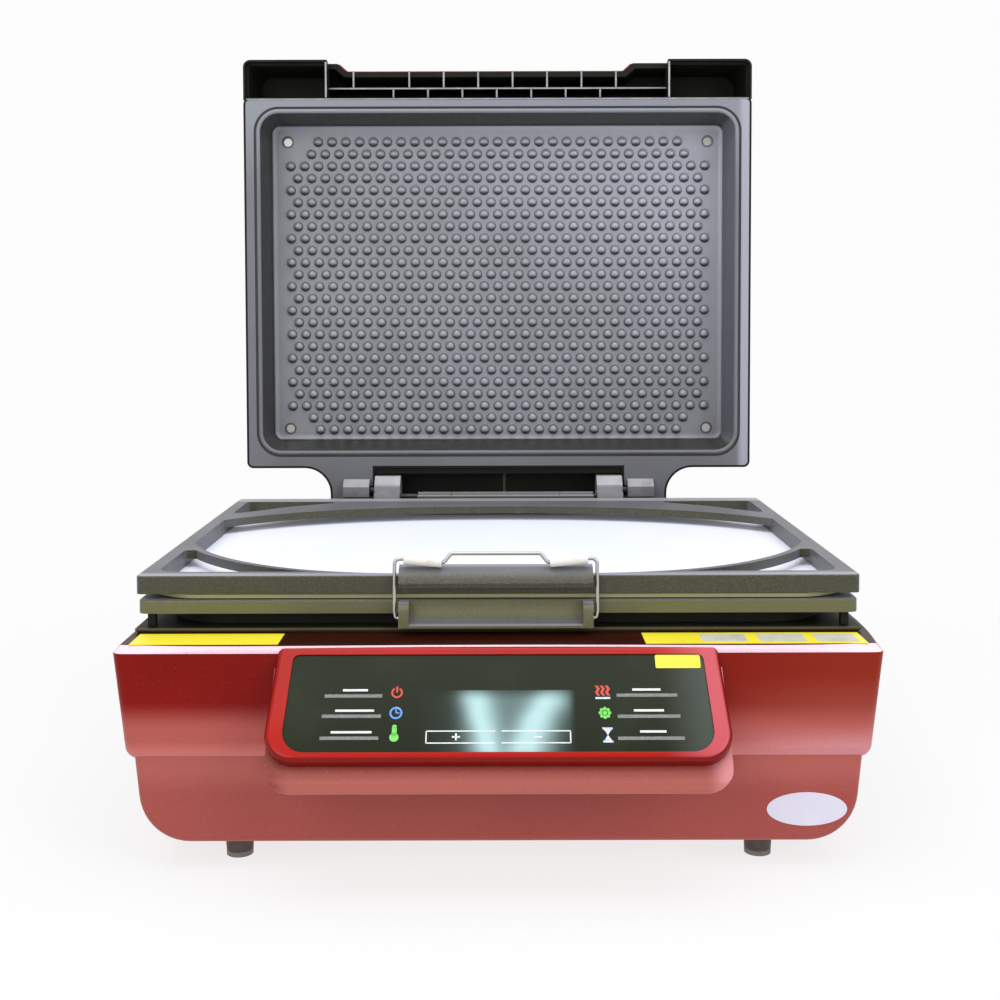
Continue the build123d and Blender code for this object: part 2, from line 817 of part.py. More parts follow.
def corner_windows():
    """Cutters for the four windows between the oval window and the frame's corners."""
    half = frame_width / 2 - side_rail
    front, end = frame_front + front_rail, frame_front + front_corner_end * frame_depth
    field = Pos(0.75 * half, (front + end) / 2) * Rectangle(half / 2, end - front)
    face = (field - inside_web()).faces().sort_by(Axis.X)[-1]
    face = fillet(face.vertices().sort_by(lambda v: v.Y - v.X)[0], front_corner_round)
    face = fillet(face.vertices().sort_by(Axis.Y)[-2:], corner_window_round)
    rear = outline(frame_places([(1, rear_corner_start), rear_corner_knee, rear_corner_tip, (1, rear_corner_low)]))
    rear = fillet(rear.vertices(), corner_window_round)
    cutters = []
    for shape in (face, rear):
        cutters += mirrored(Pos(0, 0, film_top - 1) * extrude(shape, upper_thickness + 2))
    return cutters


def upper_tab():
    """The hooked lip at the front of the upper frame that the latch sits on."""
    y, z = frame_front, frame_top
    ridge = (y + tab_ridge_back, z + tab_rise)
    lip = (y - tab_reach, z - tab_drop + tab_thickness / 2)
    under_lip = (lip[0] + 0.6, z - tab_drop - tab_thickness / 2)
    bend = tab_bend
    middle = ((ridge[0] + lip[0]) / 2 - bend, (ridge[1] + lip[1]) / 2 + bend)
    inner_end = (y + 0.5, z - 1.5)
    inner_middle = ((under_lip[0] + inner_end[0]) / 2 - bend / 2, (under_lip[1] + inner_end[1]) / 2 + bend / 2)
    edges = [Line((y + tab_root, z - 2), (y + tab_root, z)), Line((y + tab_root, z), ridge),
             ThreePointArc(ridge, middle, lip), Line(lip, under_lip),
             ThreePointArc(under_lip, inner_middle, inner_end), Line(inner_end, (y + tab_root, z - 2))]
    return sideways(make_face(Wire(edges)), latch_x - tab_half_width, latch_x + tab_half_width)


def upper_frame():
    body = slab(frame_width, frame_depth, frame_corner, film_top, frame_top, 0, frame_mid)
    body = fillet(body.edges().group_by(Axis.Z)[-1], frame_edge_round)
    body -= Pos(0, 0, film_top - 1) * extrude(window_shape(), upper_thickness + 2)
    body -= corner_windows()
    middle = frame_mid + (front_rail - rear_rail) / 2
    body -= slab(frame_width - 2 * side_rail, frame_depth - front_rail - rear_rail, frame_corner, film_top - 1,
                 frame_top - web_thickness, 0, middle)
    body += upper_tab()
    for x0, x1 in ((-leaf_half_width, -leaf_split), (leaf_split, leaf_half_width)):
        body += hinge_lug(leaf_x + x0, leaf_x + x1, film_top + 1)
    return body


def hinge_lug(x0, x1, low):
    """An arm behind a film frame that ends in a barrel round the hinge pin."""
    y0 = frame_rear
    arm = block(x0, x1, y0, film_axis_y, max(low, film_axis_z - barrel_radius), film_axis_z + leaf_rise)
    barrel = rod_x(barrel_radius, x0, x1, film_axis_y, film_axis_z)
    return arm + barrel - rod_x(film_pin_radius + running_gap, x0 - 1, x1 + 1, film_axis_y, film_axis_z)


def film():
    """The silicone sheet with a thick rim that is held between the frames."""
    width, depth = frame_width - 2 * film_inset, frame_depth - 2 * film_inset
    rim = slab(width, depth, film_corner, lower_frame_top, film_top, 0, frame_mid)
    hollow = slab(width - 2 * film_rim, depth - 2 * film_rim, film_corner - film_rim, lower_frame_top - 1,
                  film_top - film_thickness, 0, frame_mid)
    return rim - hollow


def lower_tab():
    """The finger pull under the latch, with a scooped front and solid ends."""
    half = tab_half_width
    y, top = frame_front, lower_frame_top
    body = block(latch_x - half, latch_x + half, y - lower_tab_reach, y + 2, top - lower_tab_height, top)
    front_top = body.edges().filter_by(Axis.X).sort_by(lambda e: e.center().Z - e.center().Y)[-1]
    body = fillet(front_top, lower_tab_round)
    axis_y, axis_z = y - scoop_forward, top - scoop_below
    scoop = rod_x(scoop_radius, latch_x - half + scoop_end, latch_x + half - scoop_end, axis_y, axis_z)
    body -= scoop
    for side in (-1, 1):
        x = latch_x + side * half
        body -= rod_x(wire_radius + running_gap, x - side * (bail_pivot_depth + fit_gap), x + side, pivot_y, pivot_z)
    return body




def lower_frame():
    inset = lower_frame_inset
    body = slab(frame_width - 2 * inset, frame_depth - 2 * inset, frame_corner + 2, lower_frame_bottom,
                lower_frame_top, 0, frame_mid)
    body = fillet(body.edges().group_by(Axis.Z)[-1], frame_edge_round)
    rail = lower_window_rail
    body -= slab(frame_width - 2 * rail, frame_depth - 2 * rail, lower_window_corner, lower_frame_bottom - 1,
                 lower_frame_top + 1, 0, frame_mid)
    body += lower_tab()
    for x, z in leaf_screw_places():
        body -= rod_y(leaf_screw_radius + seat_gap, frame_rear - leaf_screw_depth, frame_rear + 1, x, z)
    return body


def leaf_screw_places():
    z = (lower_frame_top + lower_frame_bottom) / 2
    return [(leaf_x - leaf_screw_x, z), (leaf_x + leaf_screw_x, z)]


def film_hinge_leaf():
    """The steel leaf that carries the lower frame on the hinge pin."""
    half = leaf_split - knuckle_gap / 2
    y0 = frame_rear - lower_frame_inset
    x0, x1 = leaf_x - half, leaf_x + half
    plate = block(x0, x1, y0, y0 + leaf_thickness, lower_frame_bottom, film_axis_z + leaf_rise)
    body = plate + hinge_lug(x0, x1, film_top)
    body -= block(x0 - 1, x1 + 1, y0 - 1, frame_rear + seat_gap, film_top - film_gap / 2, film_axis_z + 9)
    for x, z in leaf_screw_places():
        body -= rod_y(leaf_screw_radius + seat_gap, y0 - 1, y0 + leaf_thickness + 1, x, z)
    return body


def leaf_screws():
    """Screws through the leaf into the lower frame."""
    pieces = []
    for x, z in leaf_screw_places():
        y = frame_rear - lower_frame_inset + leaf_thickness
        head = rod_y(2 * leaf_screw_radius, y, y + leaf_screw_radius, x, z)
        pieces.append(head + rod_y(leaf_screw_radius, frame_rear - leaf_screw_depth + 1, y, x, z))
    return group(pieces)


def film_hinge_pin():
    """The steel rod that the film frames turn on, from one bracket to the other."""
    reach = block_outer - pin_cover
    return rod_x(film_pin_radius, -reach, reach, film_axis_y, film_axis_z)


# ---------------------------------------------------------------- latch
def on_bail(shape):
    """Carries a shape from the wire's own plane, X across and Z up from its pivots."""
    return Pos(latch_x, pivot_y, pivot_z) * Rot(-bail_lean, 0, 0) * shape


def latch_bail():
    """One bent wire: two pivots, two legs, two sleeve seats and a raised finger loop."""
    half, top = bail_half_width, bail_length
    inside = tab_half_width - bail_pivot_depth
    knee = tab_half_width + 1.6 * wire_radius
    seat_out = half - bail_shoulder
    seat_in = seat_out - sleeve_length - 2 * sleeve_end_gap
    side = [(inside, 0), (knee, 0), (half, bail_shoulder), (half, top + bail_tilt), (seat_out, top + bail_tilt),
            (seat_in, top - bail_tilt), (seat_in - loop_run, top + loop_rise)]
    bends = [1.6, 3.0, 3.5, 1.6, 2.5, 2.5]
    points = [(-x, 0, z) for x, z in side] + [(x, 0, z) for x, z in reversed(side)]
    path = FilletPolyline(*points, radius=bends + bends[::-1])
    start = path.position_at(0)
    section = Plane(origin=start, z_dir=path.tangent_at(0)) * Circle(wire_radius)
    return on_bail(sweep(section, path=path))


def bail_sleeves():
    """Plastic sleeves that the cross wire runs through on each side of the loop."""
    pieces = []
    seat_out = bail_half_width - bail_shoulder
    seat = sleeve_length + 2 * sleeve_end_gap
    tilt = math.degrees(math.atan2(2 * bail_tilt, seat))
    tube = Cylinder(sleeve_radius, sleeve_length) - Cylinder(wire_radius + seat_gap, sleeve_length + 2)
    for side in (-1, 1):
        middle = Pos(side * (seat_out - seat / 2), 0, bail_length)
        pieces.append(on_bail(middle * Rot(0, 90 - side * tilt, 0) * tube))
    return group(pieces)


# ---------------------------------------------------------------- hinges
def bracket_middles():
    middle = (block_inner + block_outer) / 2
    return [-middle, middle]


def bracket_screw_places():
    y = frame_rear + neck_front + neck_depth + bracket_foot_depth / 2
    return [(m + side * bracket_screw_x, y) for m in bracket_middles() for side in (-1, 1)]


def hinge_brackets():
    """Brackets on the deck that hold both hinge pins."""
    half = (block_outer - block_inner) / 2
    front = frame_rear + neck_front
    pieces = []
    for m in bracket_middles():
        x0, x1 = m - half, m + half
        body = block(x0, x1, front, front + neck_depth, deck_z, lid_axis_z)
        body += octagon_x(block_radius, x0, x1, lid_axis_y, lid_axis_z)
        groove = block_radius * math.cos(math.radians(22.5))
        body -= rod_x(block_groove, x0 - 1, x1 + 1, lid_axis_y - groove,
                      lid_axis_z + block_radius * math.sin(math.radians(22.5)))
        body += block(x0, x1, front, front + neck_depth + bracket_foot_depth, deck_z, deck_z + bracket_foot)
        body -= rod_x(film_pin_radius + seat_gap, x0 - 1, x1 + 1, film_axis_y, film_axis_z)
        body -= rod_x(lid_pin_radius + seat_gap, x0 - 1, x1 + 1, lid_axis_y, lid_axis_z)
        for x, y in bracket_screw_places():
            if abs(x - m) < half:
                body -= rod_z(bracket_screw_radius + seat_gap, deck_z - 1, deck_z + bracket_foot + 1, x, y)
        pieces.append(body)
    return group(pieces)


def bracket_screws():
    pieces = []
    top = deck_z + bracket_foot
    for x, y in bracket_screw_places():
        head = rod_z(2 * bracket_screw_radius, top, top + bracket_screw_radius, x, y)
        pieces.append(head + rod_z(bracket_screw_radius, deck_z - wall, top, x, y))
    return group(pieces)


def lid_hinge_pins():
    """Pins from the base's brackets out into the lid's bosses."""
    inner, outer = block_inner + pin_cover, boss_outer - pin_cover
    return group(mirrored(rod_x(lid_pin_radius, inner, outer, lid_axis_y, lid_axis_z)))


def lid_bosses():
    """Hinge bosses that stand through the lid plate's ears."""
    back = lid_face + lid_plate_thickness
    body = octagon_x(boss_radius, boss_inner, boss_outer, lid_axis_y, lid_axis_z)
    body += block(boss_inner, boss_outer, back, back + boss_radius, ear_low + 1, lid_bottom)
    body -= rod_x(lid_pin_radius + running_gap, boss_inner - 1, boss_outer - pin_cover + fit_gap, lid_axis_y,
                  lid_axis_z)
    return group(mirrored(body))


def lid_bumpers():
    """Rubber stops on the deck that the open lid leans back on."""
    top = lid_axis_z - ear_drop - rim_width - fit_gap
    y = lid_axis_y + bumper_y
    return group(mirrored(rod_z(bumper_radius, deck_z, top, bumper_x, y)))


# ---------------------------------------------------------------- lid
def plate_shape(grow=0.0):
    """Front view of the lid's plate with its two hinge ears."""
    half, ear = lid_plate_width / 2 + grow, ear_half_width + grow
    low, ear_end, top = lid_bottom - grow, ear_low - grow, lid_top + grow
    shape = outline([(-half, top), (-half, low), (-ear, low), (-ear, ear_end), (ear, ear_end), (ear, low),
                     (half, low), (half, top)])
    inner = [v for v in shape.vertices() if abs(abs(v.X) - ear) < 0.01 and abs(v.Y - low) < 0.01]
    shape = fillet(inner, ear_fillet + rim_width - grow)
    outer = [v for v in shape.vertices() if abs(abs(v.X) - half) < 0.01]
    outer = [v for v in outer if abs(v.Y - top) < 0.01 or abs(v.Y - low) < 0.01]
    shape = fillet(outer, max(lid_plate_corner + grow, 1.0))
    window = hinge_window + rim_width - grow
    return shape - Pos(0, low - window) * Rectangle(2 * window, 2 * window)


def pin_slots():
    """Room for the hinge pins where they cross the inner edges of the ears."""
    slot = lid_pin_radius + pin_slot_gap
    y, z = lid_axis_y, lid_axis_z
    return mirrored(block(hinge_window - 1, boss_inner, y - slot, y + slot, z - slot, z + slot))


def lid_plate():
    """The sheet that faces down when the lid is closed."""
    body = upright(plate_shape(-seat_gap), lid_face, lid_face + lid_plate_thickness)
    body -= tray_lump(seat_gap, -1, lid_plate_thickness + 1)
    body -= pin_slots()
    for side in (-1, 1):
        middle = side * (boss_inner + boss_outer) / 2
        half = (boss_outer - boss_inner) / 2 + seat_gap
        body -= octagon_x(boss_radius + 1.1 * seat_gap, middle - half, middle + half, lid_axis_y, lid_axis_z)
    return body


def corner_at(depth):
    """Corner radius of the lid's outside, this far behind the plate's face."""
    share = (depth - rim_depth) / (lid_depth - rim_depth)
    return lid_corner + max(share, 0) * (crown_corner - lid_corner)


def nose_shape(inset=0.0, rise=0.0, corner=lid_corner):
    """Front view of the hollow nose above the plate, with its notch."""
    half, top, low = lid_half - inset, nose_top - inset, lid_top + rise
    left, right = nose_notch_left - inset / 2, nose_notch_right + inset / 2
    deep = top - nose_notch
    shape = outline([(-half, low), (-half, top), (left - nose_notch_slope, top), (left, deep), (right, deep),
                     (right + nose_notch_slope, top), (half, top), (half, low)])
    steps = [v for v in shape.vertices() if v.Y > deep - 0.01 and abs(v.X) < half - 1]
    shape = fillet(steps, nose_notch_slope / 3)
    ends = [v for v in shape.vertices() if abs(v.Y - top) < 0.01 and abs(abs(v.X) - half) < 0.01]
    return fillet(ends, max(corner - inset, 2.0))


def nose_tub(inset, rise, depth):
    """The nose as a lump behind the rim that narrows like the shell round it."""
    slope = lid_draft / lid_depth
    front = Plane(origin=(0, lid_face + rim_depth - ledge_thickness, 0), x_dir=(1, 0, 0), z_dir=(0, -1, 0))
    back = Plane(origin=(0, lid_face + depth, 0), x_dir=(1, 0, 0), z_dir=(0, -1, 0))
    more = slope * depth
    return loft([front * nose_shape(inset, rise), back * nose_shape(inset + more, rise, corner_at(depth) + more)])


def lid_liner():
    """The black moulding inside the lid: rim, nose with its ribs, and hinge pocket."""
    rim_back = lid_face + rim_depth
    silhouette = plate_shape(rim_width) + nose_shape()
    body = upright(silhouette, lid_face, rim_back)
    body -= upright(plate_shape(), lid_face - 1, rim_back + 1)
    body -= upright(nose_shape(liner_wall, liner_wall), lid_face - 1, rim_back - ledge_thickness)
    ledge = plate_shape() - plate_shape(-ledge_width)
    body += upright(ledge, lid_face + lid_plate_thickness, lid_face + lid_plate_thickness + ledge_thickness)
    tub = lid_wall + nose_gap
    body += nose_tub(tub, 0, nose_depth + liner_wall)
    body -= nose_tub(tub + liner_wall, liner_wall, nose_depth)
    body -= nose_front(-1, rib_setback)
    lip = upright(nose_shape(rim_draft()) - nose_shape(tub + liner_wall + rim_draft(), liner_wall),
                  lid_face + rib_setback, lid_face + rib_setback + ledge_thickness)
    body += lip & nose_front(0, rib_setback + ledge_thickness + 1)
    body += nose_ribs()
    body += hinge_pocket()
    for side in (-1, 1):
        x = side * (boss_inner + boss_outer) / 2
        half = (boss_outer - boss_inner) / 2 + fit_gap
        body -= block(x - half, x + half, lid_face + lid_plate_thickness, lid_face + pocket_depth, ear_low - 1,
                      lid_bottom + fit_gap)
    return body - pin_slots()


def rim_draft():
    """How far the lid's outside has narrowed where the nose's middle wall is set back to."""
    return lid_draft * (rib_setback - rim_depth) / (lid_depth - rim_depth)


def nose_front(d0, d1):
    """The space in front of the nose's ribs, between the two full ones, from depth d0 to d1."""
    half = full_rib_x - rib / 2
    return block(-half, half, lid_face + d0, lid_face + d1, lid_top + rim_width, nose_top + 1)


def nose_ribs():
    """Ribs inside the nose: two full ones, a cross rib and two rows of short ones."""
    back = lid_face + nose_depth + liner_wall / 2
    front = lid_face + rib_setback
    cross = lid_top + cross_rib_z
    half = rib / 2
    pieces = []
    for side in (-1, 1):
        x = side * full_rib_x
        pieces.append(block(x - half, x + half, lid_face, back, lid_top, nose_top - liner_wall))
    pieces.append(block(-full_rib_x, full_rib_x, front, back, cross - half, cross + half))
    for x in [outer_rib_first] + [outer_rib_start + i * rib_pitch for i in range(outer_ribs)]:
        pieces.append(block(x - half, x + half, front, back, cross, nose_top))
    for i in range(plate_ribs):
        x = plate_rib_start + i * rib_pitch
        pieces.append(block(x - half, x + half, front, back, lid_top, cross))
    lump = upright(nose_shape(liner_wall / 2), lid_face, lid_face + rim_depth)
    lump += nose_tub(lid_wall + nose_gap + liner_wall / 2, 0, nose_depth + liner_wall / 2)
    return [p & lump for p in pieces]


def hinge_pocket():
    """Lip, back wall and middle rib that close the gap between the ears."""
    half = hinge_window + rim_width
    front = lid_face + lid_plate_thickness
    back = lid_face + pocket_depth
    low = lid_axis_z - ear_drop + 1
    lip = block(-half, half, front, front + liner_wall, lid_bottom - lip_height, lid_bottom + ledge_width)
    span = ear_half_width - fit_gap
    top = block(-span, span, front, back, lid_bottom + ledge_width - liner_wall, lid_bottom + ledge_width)
    rear = block(-half, half, back, back + liner_wall, low, lid_bottom + ledge_width)
    middle = block(-rib, rib, front, back + 1, lid_bottom - lip_height, lid_bottom + ledge_width)
    reach = ear_half_width + ear_fillet
    top += block(-reach, reach, front, front + ledge_thickness, lid_bottom + ledge_width - liner_wall,
                 lid_bottom + ledge_width)
    return lip + top + rear + Pos(pocket_rib_x, 0, 0) * middle


def shell_lump(inset=0.0, back=0.0):
    """The lid's outside as one lump: a drafted crown and the cover over the hinge."""
    front = lid_face + rim_depth - (1 if inset else 0)
    width, low, high = 2 * lid_half, lid_bottom - rim_width, nose_top
    middle = (low + high) / 2
    rings = []
    for y, less, corner in ((front, inset, lid_corner), (lid_back - back, inset + lid_draft, crown_corner)):
        plane = Plane(origin=(0, y, middle), x_dir=(1, 0, 0), z_dir=(0, -1, 0))
        rings.append(plane * RectangleRounded(width - 2 * less, high - low - 2 * less, max(corner - inset, 2)))
    body = loft(rings)
    rear = body.edges().group_by(Axis.Y)[-1]
    body = fillet(rear, crown_round - inset)
    cover = Rectangle(2 * (ear_half_width + rim_width - inset), 3 * ear_fillet)
    bottom = ear_low - rim_width + inset
    cover = Pos(0, bottom + 1.5 * ear_fillet) * cover
    hinge = upright(cover, front, lid_face + hinge_cover_depth - back)
    hinge = fillet(hinge.edges().filter_by(Axis.X).group_by(Axis.Z)[0].sort_by(Axis.Y)[-1], crown_round - inset)
    return body + hinge


def lid_shell():
    """The red cover of the lid."""
    notch_depth = lid_depth + 2
    notch = upright(notch_shape(), lid_face, lid_face + notch_depth)
    inner_notch = upright(notch_shape(lid_wall), lid_face - 2, lid_face + notch_depth)
    body = shell_lump() - notch
    body -= shell_lump(lid_wall, lid_wall) - inner_notch
    body -= nose_front(-1, rib_setback + ledge_thickness + fit_gap)
    posts = [rod_y(lid_post_radius, tray_back + screw_cup_depth + tray_sheet, lid_back - 1, x, z)
             for x, z in tray_screw_places()]
    holes = [rod_y(tray_screw_radius + seat_gap, tray_back, lid_back - 3 * lid_wall, x, z)
             for x, z in tray_screw_places()]
    return body + posts - holes


def notch_shape(grow=0.0):
    """The finger notch along the lid's front edge, seen from the front."""
    left, right, deep = nose_notch_left - grow / 2, nose_notch_right + grow / 2, nose_top - nose_notch - grow
    run = nose_notch_slope
    shape = outline([(left - run, nose_top), (left, deep), (right, deep), (right + run, nose_top),
                     (right + run, nose_top + 5), (left - run, nose_top + 5)])
    return fillet(shape.vertices().group_by(Axis.Y)[0], run / 3)


def tray_screw_places():
    x = tray_floor_width / 2 - screw_inset_x
    z = tray_floor_height / 2 - screw_inset_z
    return [(sx * x, tray_mid - field_drop + sz * z) for sx in (-1, 1) for sz in (-1, 1)]


def tray_lump(grow, d0, d1):
    """The tray's hollow between two depths, as a lump."""
    rings = []
    for depth in (d0, d1):
        share = depth / tray_depth
        width = tray_width + share * (tray_floor_width - tray_width) + 2 * grow
        height = tray_height + share * (tray_floor_height - tray_height) + 2 * grow
        corner = tray_corner + share * (tray_floor_corner - tray_corner) + grow
        plane = Plane(origin=(0, lid_face + depth, tray_mid), x_dir=(1, 0, 0), z_dir=(0, -1, 0))
        rings.append(plane * RectangleRounded(width, height, corner))
    return loft(rings)


def heater_tray():
    """The drawn tray in the lid, with a cup in its floor for each screw."""
    depth = lid_plate_thickness
    body = tray_lump(tray_wall - tray_lip, tray_edge_drop, tray_depth + tray_sheet)
    body += tray_lump(-seat_gap, tray_edge_drop, depth + tray_sheet / 2)
    flange = Pos(0, lid_face + depth + tray_sheet, tray_mid) * Rot(90, 0, 0) * extrude(
        RectangleRounded(tray_width + 2 * tray_flange, tray_height + 2 * tray_flange, tray_corner + tray_flange),
        tray_sheet)
    body += flange
    for x, z in tray_screw_places():
        body += rod_y(screw_cup_radius + tray_sheet, tray_back, tray_back + screw_cup_depth + tray_sheet, x, z)
    hollow = tray_lump(-tray_lip, -1, tray_depth)
    body -= fillet(hollow.edges().group_by(Axis.Y)[-1], tray_fillet)
    for x, z in tray_screw_places():
        body -= rod_y(screw_cup_radius, tray_back - 1, tray_back + screw_cup_depth, x, z)
        body -= rod_y(tray_screw_radius + seat_gap, tray_back, tray_back + 2 * screw_cup_depth, x, z)
    return body


def tray_screws():
    """Screws in the cups of the tray's floor."""
    pieces = []
    seat = tray_back + screw_cup_depth
    for x, z in tray_screw_places():
        head = rod_y(2 * tray_screw_radius, seat - tray_screw_radius, seat, x, z)
        pieces.append(head + rod_y(tray_screw_radius, seat, seat + 4 * tray_screw_radius, x, z))
    return group(pieces)


def heater_element():
    """The heating rod behind the tray's floor, bent to and fro."""
    y = tray_back + tray_sheet + fit_gap + element_radius
    points = []
    for i in range(element_runs):
        z = tray_mid + (i - (element_runs - 1) / 2) * element_pitch
        ends = [(-element_half_width, y, z), (element_half_width, y, z)]
        points += ends if i % 2 == 0 else ends[::-1]
    path = FilletPolyline(*points, radius=element_pitch / 2 - 0.5)
    section = Plane(origin=path.position_at(0), z_dir=path.tangent_at(0)) * Circle(element_radius)
    return sweep(section, path=path)




def insulation():
    """The mat behind the heating rod."""
    width = tray_floor_width - 2 * insulation_margin
    height = tray_floor_height - 2 * insulation_margin
    mat = Pos(0, tray_mid) * RectangleRounded(width, height, tray_floor_corner)
    body = upright(mat, element_back, element_back + insulation_thickness)
    for x, z in tray_screw_places():
        body -= rod_y(lid_post_radius + fit_gap, element_back - 1, element_back + insulation_thickness + 1, x, z)
    return body


def heater_cover():
    """The sheet-metal pan that holds the mat and the rod against the tray."""
    margin = insulation_margin - fit_gap
    width = tray_floor_width - 2 * margin
    height = tray_floor_height - 2 * margin
    y0, y1 = tray_back + tray_sheet, element_back + insulation_thickness + cover_sheet
    grow = 2 * cover_sheet
    pan = Pos(0, tray_mid) * RectangleRounded(width + grow, height + grow, tray_floor_corner + cover_sheet)
    inside = Pos(0, tray_mid) * RectangleRounded(width, height, tray_floor_corner)
    body = upright(pan, y0, y1) - upright(inside, y0 - 1, y1 - cover_sheet)
    for x, z in tray_screw_places():
        body -= rod_y(screw_cup_radius + tray_sheet + fit_gap, y0 - 1, y1 + 1, x, z)
    return body


def thermal_cutout():
    """The round safety switch on the back of the heater's cover."""
    y = element_back + insulation_thickness + cover_sheet
    body = rod_y(cutout_radius, y, y + cutout_height, 0, tray_mid)
    for side in (-1, 1):
        x = side * cutout_radius / 2
        body += block(x - 1, x + 1, y + cutout_height - 1, y + 2 * cutout_height, tray_mid - 3, tray_mid + 3)
    return body


# ---------------------------------------------------------------- inside the base
def housing_posts():
    """Posts that hang from the deck down to the floor of the lower housing."""
    posts = []
    for x, y in post_places:
        post = rod_z(post_radius, inner_floor + fit_gap, deck_z - 1, x, y)
        posts.append(post - rod_z(post_screw_radius + seat_gap, inner_floor, inner_floor + post_bore, x, y))
    return posts


def housing_screws():
    pieces = []
    for x, y in post_places:
        head = rod_z(2 * post_screw_radius, floor_z - post_screw_radius, floor_z, x, y)
        pieces.append(head + rod_z(post_screw_radius, floor_z, inner_floor + post_screw_reach, x, y))
    return group(pieces)


def vacuum_port():
    """The nipple in the chamber's floor that the pump sucks through."""
    under = chamber_floor - chamber_sheet
    body = rod_z(port_radius, under - port_drop, chamber_floor, port_x, port_y)
    body += rod_z(port_flange, under - 3, under, port_x, port_y)
    return body - rod_z(port_bore, under - port_drop - 1, chamber_floor + 1, port_x, port_y)


def pump_middle():
    return inner_floor + pump_axis_height


def head_left():
    return pump_x + pump_motor_length / 2


def vacuum_hose():
    """The hose from the port to the pump."""
    y = port_y
    top = chamber_floor - chamber_sheet - 3 - fit_gap
    level = pump_middle() + pump_head_side / 4
    end = head_left() + pump_head_width + fit_gap
    path = FilletPolyline((port_x, y, top), (port_x, y, level), (end, y, level), radius=hose_bend)
    outer = port_radius + seat_gap + hose_wall
    start = Plane(origin=(port_x, y, top), z_dir=(0, 0, -1))
    body = sweep(start * Circle(outer), path=path) - sweep(start * Circle(port_radius + seat_gap), path=path)
    return body


def pump_body():
    """The pump's motor housing, hollow round its rotor, on its base plate."""
    x0, x1, z = pump_x - pump_motor_length / 2, head_left(), pump_middle()
    body = rod_x(pump_motor_radius, x0, x1, pump_y, z)
    half = pump_motor_radius - 4
    low = z - pump_head_side / 2
    body += block(x0 + 6, x1, pump_y - half, pump_y + half, low - pump_base_thickness, z - pump_core_radius)
    body += block(x0 + 6, x1 + pump_head_width, pump_y - half, pump_y + half, low - pump_base_thickness, low)
    body -= rod_x(pump_core_radius + 1.5, x0 + pump_wall, x1 - pump_wall, pump_y, z)
    return body - rod_x(pump_shaft_radius + running_gap, x0 + pump_wall / 2, x1 + 1, pump_y, z)


def pump_head():
    """The pumping chamber at the end of the motor, with its nipple."""
    x0, z, half = head_left(), pump_middle(), pump_head_side / 2
    x1 = x0 + pump_head_width
    body = block(x0, x1, pump_y - half, pump_y + half, z - half, z + half)
    body = fillet(body.edges().filter_by(Axis.X), 4)
    cavity_end = x0 + pump_wall + pump_cam_width + 2
    body -= rod_x(pump_cavity_radius, x0 + pump_wall, cavity_end, pump_y, z)
    body -= rod_x(pump_shaft_radius + running_gap, x0 - 1, x0 + pump_wall + 1, pump_y, z)
    level = z + half / 2
    nipple = rod_x(port_radius, x1, x1 + port_drop, port_y, level)
    return body + nipple - rod_x(port_bore, cavity_end - 4, x1 + port_drop + 1, port_y, level)


def pump_rotor():
    """The pump's shaft with its core and the cam that works the diaphragm."""
    x0, x1, z = pump_x - pump_motor_length / 2, head_left(), pump_middle()
    end = x1 + pump_wall + pump_cam_width
    body = rod_x(pump_shaft_radius, x0 + pump_wall / 2 + fit_gap, end, pump_y, z)
    body += rod_x(pump_core_radius, x0 + pump_core_end, x1 - pump_core_end, pump_y, z)
    return body + rod_x(pump_cam_radius, end - pump_cam_width + 1, end, pump_y, z - pump_cam_offset)


def pump_mounts():
    """Rubber blocks between the pump's base plate and the floor."""
    top = pump_middle() - pump_head_side / 2 - pump_base_thickness
    x0 = pump_x - pump_motor_length / 2 + 6 + mount_radius
    x1 = head_left() + pump_head_width - mount_radius
    y = pump_motor_radius - 4 - mount_radius
    return group([rod_z(mount_radius, inner_floor, top, x, pump_y + s * y) for x in (x0, x1) for s in (-1, 1)])


def release_valve():
    """The coil valve under the chamber that lets the air back in."""
    under = chamber_floor - chamber_sheet
    half = valve_size / 2
    body = block(valve_x - half, valve_x + half, valve_y - half, valve_y + half, under - valve_height, under)
    body += rod_z(port_radius, under - 1, chamber_floor, valve_x, valve_y)
    body += rod_z(coil_radius, under - valve_height - coil_length, under - valve_height, valve_x, valve_y)
    body -= rod_z(port_bore, under - valve_height / 2, chamber_floor + 1, valve_x, valve_y)
    return body - rod_x(port_bore, valve_x, valve_x + half + 1, valve_y, under - valve_height / 2)


def main_board():
    """The control board with its heat sink, capacitors and terminals."""
    x0, y0 = main_board_x - main_board_width / 2, main_board_y - main_board_depth / 2
    x1, y1 = x0 + main_board_width, y0 + main_board_depth
    z = inner_floor + standoff
    top = z + board_thickness
    body = block(x0, x1, y0, y1, z, top)
    sink_width = main_board_width / 3
    pitch = sink_width / heat_sink_fins
    sink_x, sink_y = x0 + board_margin, y0 + board_margin
    body += block(sink_x, sink_x + sink_width, sink_y, sink_y + heat_sink_depth, top, top + heat_sink_base)
    for i in range(heat_sink_fins):
        x = sink_x + i * pitch
        body += block(x, x + pitch / 3, sink_y, sink_y + heat_sink_depth, top, top + heat_sink_height)
    for i in range(3):
        x = x1 - board_margin - capacitor_radius - i * 2.6 * capacitor_radius
        body += rod_z(capacitor_radius, top, top + capacitor_height, x, y1 - board_margin - capacitor_radius)
    for i in range(4):
        x = x1 - board_margin - i * terminal_pitch
        body += block(x - terminal_size, x, y0 + board_margin / 2, y0 + board_margin / 2 + terminal_size, top,
                      top + terminal_height)
    return body


